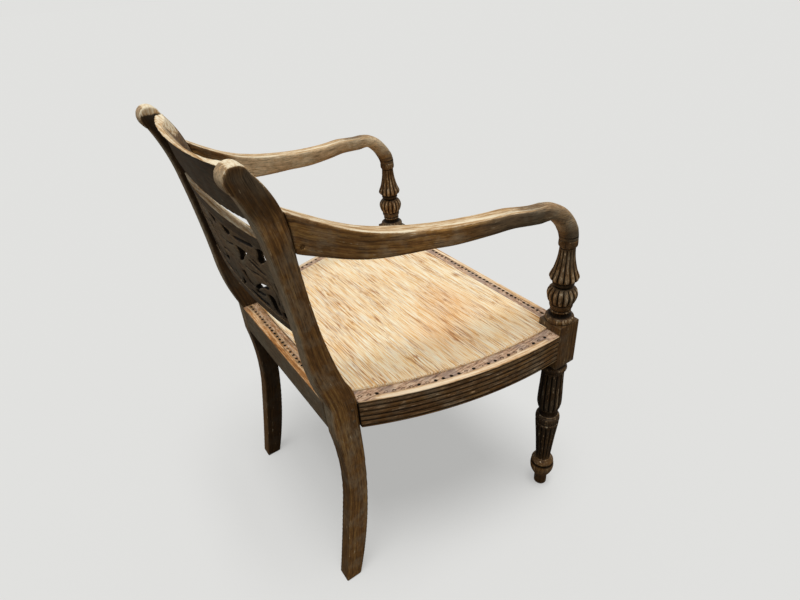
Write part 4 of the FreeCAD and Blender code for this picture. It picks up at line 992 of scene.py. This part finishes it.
def holeTree():
    tree, add, given = newGeometryTree("caningHoles", (
        ("Rail", "Geometry"), ("Row", "Object"), ("Pitch", "Float"), ("Radius", "Float"), ("Depth", "Float"),
        ("Sides", "Int"), ("Seed", "Int"), ("Astray", "Vector"), ("Plugged", "Float"),
        ("Plug Radius", "Float"), ("Plug Length", "Float"), ("Plug Low", "Float"), ("Plug High", "Float"),
        ("Crust", "Float"), ("Wood", "Material")))
    row = add("GeometryNodeObjectInfo", {"Object": given["Row"]}, out="Geometry")
    line = add("GeometryNodeMeshToCurve", {"Mesh": row})
    spots = add("GeometryNodeResampleCurve", {"Curve": line, "Length": given["Pitch"]}, mode="LENGTH")
    cylinder = add("GeometryNodeMeshCylinder", {
        "Vertices": given["Sides"], "Radius": given["Radius"], "Depth": given["Depth"]})
    # the drill's faces become the holes' walls and bottoms, marked for painted shade
    drill = add("GeometryNodeStoreNamedAttribute", {"Geometry": cylinder, "Name": "bored", "Value": 1.0},
                data_type="FLOAT", domain="FACE")
    back = add("VectorMath", {0: given["Astray"], "Scale": -1.0}, operation="SCALE")
    spread = add("FunctionNodeRandomValue", {"Min": back, "Max": given["Astray"], "Seed": given["Seed"]},
                 data_type="FLOAT_VECTOR")
    jittered = add("GeometryNodeSetPosition", {"Geometry": spots, "Offset": spread})
    drills = add("GeometryNodeInstanceOnPoints", {"Points": jittered, "Instance": drill})
    solid = add("GeometryNodeRealizeInstances", {"Geometry": drills})
    bored = add("GeometryNodeMeshBoolean", {"Mesh 1": given["Rail"], "Mesh 2": solid},
                operation="DIFFERENCE", solver="EXACT")
    # some holes, more of them near the ends, are stopped with a plug that sits a little low
    plug = add("GeometryNodeMeshCylinder", {
        "Vertices": given["Sides"], "Radius": given["Plug Radius"], "Depth": given["Plug Length"]})
    sink = add("FunctionNodeRandomValue", {
        2: given["Plug Low"], 3: given["Plug High"], "Seed": given["Seed"]}, data_type="FLOAT", out=1)
    depth = add("Math", {0: given["Plug Length"], 1: -0.5, 2: sink}, operation="MULTIPLY_ADD")
    counted = add("GeometryNodeAttributeDomainSize", {"Geometry": spots}, component="CURVE",
                  out="Point Count")
    along = add("Math", {0: add("GeometryNodeInputIndex"), 1: counted}, operation="DIVIDE")
    centred = add("Math", {0: along, 1: 0.5}, operation="SUBTRACT")
    fromMiddle = add("Math", {0: centred}, operation="ABSOLUTE")
    likely = add("Math", {0: fromMiddle, 1: 2.4, 2: 0.2}, operation="MULTIPLY_ADD")
    chance = add("Math", {0: likely, 1: given["Plugged"]}, operation="MULTIPLY")
    chosen = add("FunctionNodeRandomValue", {"Probability": chance, "Seed": given["Seed"]},
                 data_type="BOOLEAN", out=3)
    down = add("CombineXYZ", {"Z": depth})
    lowered = add("GeometryNodeSetPosition", {"Geometry": jittered, "Offset": down})
    plugs = add("GeometryNodeInstanceOnPoints", {"Points": lowered, "Instance": plug, "Selection": chosen})
    crusted = add("GeometryNodeStoreNamedAttribute", {
        "Geometry": add("GeometryNodeRealizeInstances", {"Geometry": plugs}), "Name": "band",
        "Value": given["Crust"]}, data_type="FLOAT", domain="POINT")
    both = add("GeometryNodeJoinGeometry", {0: [bored, crusted]})
    whole = add("GeometryNodeRealizeInstances", {"Geometry": both})
    finished = add("GeometryNodeSetMaterial", {"Geometry": whole, "Material": given["Wood"]})
    add("NodeGroupOutput", {"Geometry": finished})
    return tree


boreTree = holeTree()


def boreHoles(piece, places, pitch, plugged, material):
    r, holes = seatRails, caningHoles
    row = newLine(piece.name + "Row", [(x * mm, y * mm, r["top"] * mm) for x, y in places])
    modifier = piece.modifiers.new("bore", "NODES")
    modifier.node_group = boreTree
    astray = holes["astray"] * mm
    giveInputs(modifier, {
        "Row": row, "Pitch": pitch * mm, "Radius": holes["radius"] * mm, "Depth": holes["depth"] * 2 * mm,
        "Sides": holes["sides"], "Seed": holes["seed"], "Astray": (astray, astray, 0.0), "Plugged": plugged,
        "Plug Radius": holes["plugRadius"] * mm, "Plug Length": holes["plugLength"] * mm,
        "Plug Low": -holes["plugLow"] * mm, "Plug High": holes["plugHigh"] * mm, "Crust": r["endCrust"],
        "Wood": material})
    plainMesh(piece)
    bpy.data.objects.remove(row)
    return piece


def buildSideRail(name, side, node):
    r, holes = seatRails, caningHoles
    ys = np.linspace(r["frontEnd"], r["rearEnd"], 100)
    piece = buildRail(name, [(side * sideReach(y), y, -side, 0) for y in ys], True)
    ys = np.linspace(r["frontEnd"] + holes["sideEnd"], r["rearEnd"] - holes["sideEnd"], 60)
    boreHoles(piece, [(side * (sideReach(y) - holes["inset"]), y) for y in ys], holes["pitch"],
              holes["sidePlugged"], railSwept)
    return finishPiece(piece, railSwept, node)


def buildCrossRail(name, end, inward, stations, material, node):
    # the front or the rear rail, straight from side to side
    r, holes = seatRails, caningHoles
    face = r[end + "Face"]
    xs = np.linspace(-r[end + "Half"], r[end + "Half"], stations)
    piece = buildRail(name, [(x, face, 0, inward) for x in xs], end == "front")
    xs = np.linspace(-holes[end + "Half"], holes[end + "Half"], 40)
    boreHoles(piece, [(x, face + inward * holes["inset"]) for x in xs], holes["crossPitch"],
              holes[end + "Plugged"], material)
    if end == "rear":
        where = pointsOf(piece)
        behind = np.maximum(normalsOf(piece)[:, 1], 0) * (where[:, 1] > (face - 2) * mm)
        wear, onTop = attributeOf(piece, "wear"), where[:, 2] > (r["top"] - 0.5) * mm
        setAttributes(piece, tone=r["rearTone"] * behind, dust=r["rearDust"] * behind,
                      band=r["rearCrustShare"] * attributeOf(piece, "band"),
                      wear=np.where(onTop, wear * r["rearWearShare"] + r["rearWear"], wear))
    return finishPiece(piece, material, node)


buildSideRail("sideRailRight", -1, "side_seat_rail_right")
buildSideRail("sideRailLeft", 1, "side_seat_rail_left")
buildCrossRail("frontRail", "front", 1, 70, railStraight, "front_seat_rail")
buildCrossRail("rearRail", "rear", -1, 50, railRear, "rear_seat_rail")
print("seat rails made")


# Front legs, turned from floor to arm in one piece. Each band is its kind of line, how worn it is (a band
# below nothing is darker instead), its places as height and radius in mm, and, where it is reeded, the number
# and depth of its reeds.
turning = {
    "spread": 269.0, "front": -241.0, "segments": 168, "step": 1.2, "lift": 0.02,
    "reedStep": 2.4, "reedRadius": 24.0, "quickFrom": 520.0,    # mm up, where reeds start deeper
    "block": 49.0, "blockLow": 351.0, "blockHigh": 445.0, "blockEdge": 1.6, "blockRub": 1.7,
    "proud": 1.2, "blockWear": -0.05, "blockEdgeWear": 0.12,
    # the low and hidden marks are painted shade under the seat
    "tone": {"low": -0.6, "hidden": -0.3, "high": -0.1, "cushion": -0.35, "bun": 0.15, "foot": 0.1,
             "all": 0.0},
    # m up, from nothing to all of it, and the middle and half height of a turning
    "zones": {"low": (0.36, 0.33), "notFoot": (0.06, 0.1),
              # shares of a reeded band's height
              "start": (0, 0.06), "quickStart": (-0.02, 0.06), "end": (0, 0.05)},
    "highFrom": 0.34, "footTo": 0.075, "bun": (0.498, 0.017), "cushion": (0.449, 0.012),
    "bands": [
        ("run", -0.1, [(0, 11.4), (1.6, 13.2), (28, 13.2)]),
        ("smooth", 0.1, [(28, 14.0), (36, 19.2), (46, 23.2), (56, 24.6), (63, 23.8)]),
        ("run", -0.75, [(63.5, 24.0), (66, 20.0), (68.5, 22.2)]),
        ("smooth", 0.15, [(69, 22.6), (72, 23.0), (76, 20.8), (79, 17.8), (82, 15.0)]),
        ("run", -0.8, [(82, 14.0), (84, 14.0)]),
        ("smooth", -0.08, [(84, 15.0), (110, 16.8), (138, 18.9), (165, 21.2), (182, 22.8), (186, 22.6)],
         14, 2.3),
        ("smooth", 0.2, [(186, 22.2), (187.5, 23.2), (189.5, 23.2), (191, 22.2)]),
        ("run", -0.8, [(191, 20.8), (192.5, 20.8)]),
        ("smooth", 0.1, [(193, 22.4), (196, 23.6), (201, 24.0), (206, 23.4), (209, 21.8)]),
        ("smooth", 0.25, [(209, 20.4), (211, 21.0), (213, 20.0)]),
        ("smooth", -0.55, [(213, 18.4), (217, 17.2), (221, 17.0), (225, 18.2)]),
        ("smooth", -0.08, [(225, 18.8), (232, 21.6), (242, 23.6), (262, 23.4), (290, 22.2), (312, 21.4),
                           (322, 21.2), (326, 19.6)], 14, 2.3),
        ("run", -0.8, [(326, 17.6), (328, 17.6)]),
        ("smooth", 0.1, [(328, 20.4), (331, 23.6), (335, 25.0), (338, 24.4), (340.5, 22.0)]),
        ("run", -0.4, [(341, 20.6), (445, 20.6)]),
        ("smooth", 0.2, [(445, 23.6), (447, 25.2), (450, 25.6), (453, 24.8), (455.5, 22.6)]),
        ("smooth", -0.75, [(456.3, 19.0), (458, 16.6), (461, 16.0), (464, 16.6)]),
        ("smooth", 0.2, [(464.5, 17.6), (466, 18.4), (468, 17.8)]),
        ("run", -0.8, [(468.3, 16.4), (469.6, 16.4)]),
        ("smooth", 0.0, [(470, 17.6), (473, 19.4), (477, 20.4), (480, 20.0)]),
        ("run", -0.6, [(480.2, 18.6), (481.6, 18.6)]),
        ("smooth", 0.0, [(482, 20.0), (487, 23.8), (498, 26.4), (507, 24.6), (514, 18.6)], 16, 2.6),
        ("run", -0.95, [(514.5, 14.0), (517, 14.0)]),
        ("smooth", -0.7, [(517, 15.6), (519, 18.0), (521, 18.8), (523, 18.0), (525, 15.6)]),
        ("run", -0.95, [(525, 14.2), (527, 14.2)]),
        ("smooth", 0.05, [(527, 20.0), (530, 23.8), (534, 25.4), (540, 23.4), (548, 20.0), (562, 16.4),
                          (575, 14.2), (589, 13.2)], 14, 2.8),
        ("run", -0.8, [(589.2, 12.2), (590.6, 12.2)]),
        ("smooth", 0.15, [(591, 14.0), (593.5, 15.6), (598, 15.9), (604, 15.6)]),
    ],
}


def turnedTree():
    # turns a profile line into a lathe shape and cuts its reeds
    tree, add, given = newGeometryTree("turnedLeg", (
        ("Profile", "Geometry"), ("Segments", "Int"), ("Wood", "Material")))
    radius, reeds, reedDepth, wearBase = (
        add("GeometryNodeInputNamedAttribute", {"Name": label}, data_type="FLOAT", out="Attribute")
        for label in ("turnRadius", "reedCount", "reedDepth", "wearBase"))
    axis = add("GeometryNodeMeshToCurve", {"Mesh": given["Profile"]})
    sized = add("GeometryNodeSetCurveRadius", {"Curve": axis, "Radius": radius})
    ring = add("GeometryNodeCurvePrimitiveCircle", {"Resolution": given["Segments"], "Radius": 1.0})
    lathe = add("GeometryNodeCurveToMesh", {"Curve": sized, "Profile Curve": ring, "Fill Caps": True})
    if "Scale" in lathe.node.inputs:
        tree.links.new(radius, lathe.node.inputs["Scale"])
    spot = add("SeparateXYZ", {0: add("GeometryNodeInputPosition")}, out=None)
    turn = add("Math", {0: spot["Y"], 1: spot["X"]}, operation="ARCTAN2")
    reedTurn = add("Math", {0: turn, 1: reeds}, operation="MULTIPLY")
    turns = add("Math", {0: reedTurn, 1: 2 * math.pi}, operation="DIVIDE")
    share = add("Math", {0: turns}, operation="FRACT")
    across = add("Math", {0: share, 1: 2.0, 2: -1.0}, operation="MULTIPLY_ADD")
    beside = add("Math", {0: across}, operation="ABSOLUTE")
    groove = add("Math", {0: beside, 1: 3.2}, operation="POWER")
    cut = add("Math", {0: groove, 1: reedDepth}, operation="MULTIPLY")
    inward = add("Math", {0: cut, 1: -1.0}, operation="MULTIPLY")
    flat = add("CombineXYZ", {"X": spot["X"], "Y": spot["Y"]})
    outward = add("VectorMath", {0: flat}, operation="NORMALIZE")
    push = add("VectorMath", {0: outward, "Scale": inward}, operation="SCALE")
    reeded = add("GeometryNodeSetPosition", {"Geometry": lathe, "Offset": push})
    # the reeds' crowns are paler and their grooves darker
    deep = add("Math", {0: reedDepth, 1: 1 / (2 * mm)}, operation="MULTIPLY")
    crown = add("Math", {0: groove, 1: -1.7, 2: 0.26}, operation="MULTIPLY_ADD")
    reedCrownAndGroove = add("Math", {0: crown, 1: -1.0}, operation="MAXIMUM")
    wear = add("Math", {0: reedCrownAndGroove, 1: deep, 2: wearBase}, operation="MULTIPLY_ADD")
    marked = add("GeometryNodeStoreNamedAttribute", {"Geometry": reeded, "Name": "wear", "Value": wear},
                 data_type="FLOAT", domain="POINT")
    whole = add("GeometryNodeRealizeInstances", {"Geometry": marked})
    finished = add("GeometryNodeSetMaterial", {"Geometry": whole, "Material": given["Wood"]})
    add("NodeGroupOutput", {"Geometry": finished})
    return tree


latheTree = turnedTree()


def turnedPart(name):
    # the leg's turned shape round its own axis
    look = turning
    heights, numbers = [], []
    for kind, worn, places, *reeding in look["bands"]:
        reeds, depth = reeding or (0, 0.0)
        step = look["reedStep"] if reeds else look["step"]
        run = smoothRun(places, step) if kind == "smooth" else places
        low, high = run[0][0], run[-1][0]
        for z, radius in run:
            share = (z - low) / (high - low)
            start = "quickStart" if z > look["quickFrom"] else "start"
            fade = float(inZone(look, start, share) * inZone(look, "end", 1 - share))
            # the line never turns back: a point no higher than the last one is lifted past it
            lifted = bool(heights) and z * mm <= heights[-1]
            heights.append(heights[-1] + look["lift"] * mm if lifted else z * mm)
            numbers.append((radius * mm, reeds, depth * fade * mm * radius / look["reedRadius"], worn))
    piece = newLine(name, [(0.0, 0.0, z) for z in heights])
    setAttributes(piece, **dict(zip(("turnRadius", "reedCount", "reedDepth", "wearBase"), zip(*numbers))))
    modifier = piece.modifiers.new("turn", "NODES")
    modifier.node_group = latheTree
    giveInputs(modifier, {"Segments": look["segments"], "Wood": teakAlong["Z"]})
    return plainMesh(piece)


def legBlock():
    # the square block at the seat, as points, faces and wear
    look = turning
    half, low, high = look["block"] / 2 * mm, look["blockLow"] * mm, look["blockHigh"] * mm
    rub = look["blockRub"] * mm
    block = bmesh.new()
    bmesh.ops.create_cube(block, size=1.0)
    for v in block.verts:
        v.co = Vector((v.co.x * 2 * half, v.co.y * 2 * half, low + (high - low) * (v.co.z + 0.5)))
    bmesh.ops.bevel(block, geom=block.edges[:], offset=look["blockEdge"] * mm, segments=3, profile=0.6,
                    affect="EDGES")
    bmesh.ops.subdivide_edges(block, edges=[e for e in block.edges if e.calc_length() > 20 * mm], cuts=7,
                              use_grid_fill=True)
    block.verts.index_update()
    points = [v.co[:] for v in block.verts]
    faces = [[v.index for v in f.verts] for f in block.faces]
    block.free()
    wear = []
    for x, y, z in points:
        second = sorted([half - abs(x), half - abs(y), min(z - low, high - z)])[1]
        wear.append(0.0 if z > high - rub else look["blockEdgeWear"] if second < rub else look["blockWear"])
    return points, faces, wear


def buildLeg(name, side, node):
    look = turning
    turned = turnedPart(name + "Turned")
    wear = attributeOf(turned, "wear") + np.clip(proudness(turned, 1), -0.4, 0.4) * look["proud"]
    where, faces = pointsOf(turned), [tuple(polygon.vertices) for polygon in turned.data.polygons]
    bpy.data.objects.remove(turned)
    blockPoints, blockFaces, blockWear = legBlock()
    faces += [[len(where) + i for i in face] for face in blockFaces]
    where = np.vstack([where, blockPoints]) + (side * look["spread"] * mm, look["front"] * mm, 0)
    piece = newPiece(name, where, faces)
    across, rear, up = normalsOf(piece).T
    z = where[:, 2]
    # under the seat the leg is painted darker, most on the side turned in beneath the seat, fading out at the
    # foot: painted shade of the seat
    low = inZone(look, "low", z) * inZone(look, "notFoot", z)
    hidden = np.maximum(rear - side * across, 0) / math.sqrt(2)
    bun, cushion = (np.abs(z - look[key][0]) < look[key][1] for key in ("bun", "cushion"))
    setAttributes(piece, wear=np.concatenate([wear, blockWear]), tone=marks(
        look["tone"], low=low, hidden=hidden * low, high=z > look["highFrom"], bun=bun,
        cushion=(up > 0.5) * cushion, foot=z < look["footTo"]))
    return finishPiece(piece, teakAlong["Z"], node)


buildLeg("frontLegRight", -1, "front_leg_right")
buildLeg("frontLegLeft", 1, "front_leg_left")
print("front legs made")


# Wood screws. To the eye: small dulled steel heads, browned in places.
steelLook = {"stops": [(0.35, "#5A4A3C"), (0.55, "#8A8680"), (0.7, "#A8A5A0")], "spots": 900.0,
             "roughness": (0.35, 0.7), "metallic": 0.9}


def steelMaterial(name):
    look = steelLook
    material, add = newMaterial(name)
    spots = add("TexNoise", {"Vector": add("TexCoord", out="Object"), "Scale": look["spots"], "Detail": 4.0})
    colour = add("ValToRGB", {"Fac": spots}, stops=look["stops"])
    rough = add("MapRange", {"Value": spots, "To Min": look["roughness"][0], "To Max": look["roughness"][1]})
    shader = add("BsdfPrincipled", {"Base Color": colour, "Roughness": rough, "Metallic": look["metallic"]})
    add("OutputMaterial", {"Surface": shader})
    return material


# CAD nodes that keep their shape get a finish of their own
steel = steelMaterial("dulledSteel")
for material, nodes in ((bareBoard, ["seat_board"]),
                        (teakAlong["X"], ["front_seat_cleat", "rear_seat_cleat"]),
                        (teakCarved, ["side_rail_pegs", "arm_pins"]),
                        (steel, ["seat_cleat_screws", "seat_board_screws"])):
    for node in nodes:
        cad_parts[node].data.materials.clear()
        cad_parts[node].data.materials.append(material)
print("small parts finished")


# Floor, light and camera
studio = {"floor": "#E1E1DF", "bounce": "#5E5B57", "glow": 0.52, "floorSize": 60.0, "worldLight": 0.25,
          "sunStrength": 2.4, "sunAngle": 30.0, "sunFrom": (-0.12, 0.04, 1.0)}
pale = linearColour(studio["floor"])

# The floor. To the eye: a pale ground that keeps the shadow, and throws less light up than its colour would
floorMaterial, add = newMaterial("studioFloor")
rays = add("LightPath", out=None)
glow = add("Emission", {"Color": pale, "Strength": 1.0})
seenFloor = add("MixShader", {0: studio["glow"], 1: add("BsdfDiffuse", {"Color": pale}), 2: glow})
bounce = add("BsdfDiffuse", {"Color": linearColour(studio["bounce"])})
both = add("MixShader", {0: rays["Is Camera Ray"], 1: bounce, 2: seenFloor})
add("OutputMaterial", {"Surface": both})
half = studio["floorSize"] / 2
floor = newPiece("studioFloor", [(-half, -half, 0), (half, -half, 0), (half, half, 0), (-half, half, 0)],
                 [(0, 1, 2, 3)])
floor.data.materials.append(floorMaterial)

world = bpy.data.worlds.new("studioWorld")
bpy.context.scene.world = world
world.use_nodes = True
add = emptied(world.node_tree)
rays = add("LightPath", out=None)
direct = add("Math", {0: rays["Is Camera Ray"], 1: rays["Is Glossy Ray"]}, operation="MAXIMUM")
shown = add("Math", {0: direct, 1: rays["Is Transmission Ray"]}, operation="MAXIMUM")
light = add("Background", {"Color": (1.0, 1.0, 1.0, 1.0), "Strength": studio["worldLight"]})
ground = add("Background", {"Color": pale, "Strength": 1.0})
add("OutputWorld", {"Surface": add("MixShader", {0: shown, 1: light, 2: ground})})

sunLight = bpy.data.lights.new("softSun", "SUN")
sunLight.energy = studio["sunStrength"]
sunLight.angle = math.radians(studio["sunAngle"])
sun = bpy.data.objects.new("softSun", sunLight)
bpy.context.scene.collection.objects.link(sun)
sun.rotation_euler = Vector(studio["sunFrom"]).to_track_quat("Z", "Y").to_euler()

# The camera stands behind the chair's right side, above its back, a little turned
cameraPlace = {"position": (-0.76181, 0.40592, 1.00608), "azimuth": 237.65, "elevation": 33.01,
               "roll": -4.549, "lens": 23.64, "sensor": 36.0, "near": 0.02, "far": 200.0}
a, e, roll = (math.radians(cameraPlace[key]) for key in ("azimuth", "elevation", "roll"))
backward = Vector((math.sin(a) * math.cos(e), -math.cos(a) * math.cos(e), math.sin(e)))
turnedBack = backward.to_track_quat("Z", "Y").to_matrix().to_4x4() @ Matrix.Rotation(roll, 4, "Z")
cameraData = bpy.data.cameras.new("photoCamera")
cameraData.lens = cameraPlace["lens"]
cameraData.sensor_width = cameraPlace["sensor"]
cameraData.sensor_fit = "HORIZONTAL"
cameraData.clip_start = cameraPlace["near"]
cameraData.clip_end = cameraPlace["far"]
camera = bpy.data.objects.new("photoCamera", cameraData)
bpy.context.scene.collection.objects.link(camera)
camera.matrix_world = Matrix.Translation(Vector(cameraPlace["position"])) @ turnedBack
bpy.context.scene.camera = camera
bpy.context.scene.view_settings.view_transform = "Standard"

print("studio ready")
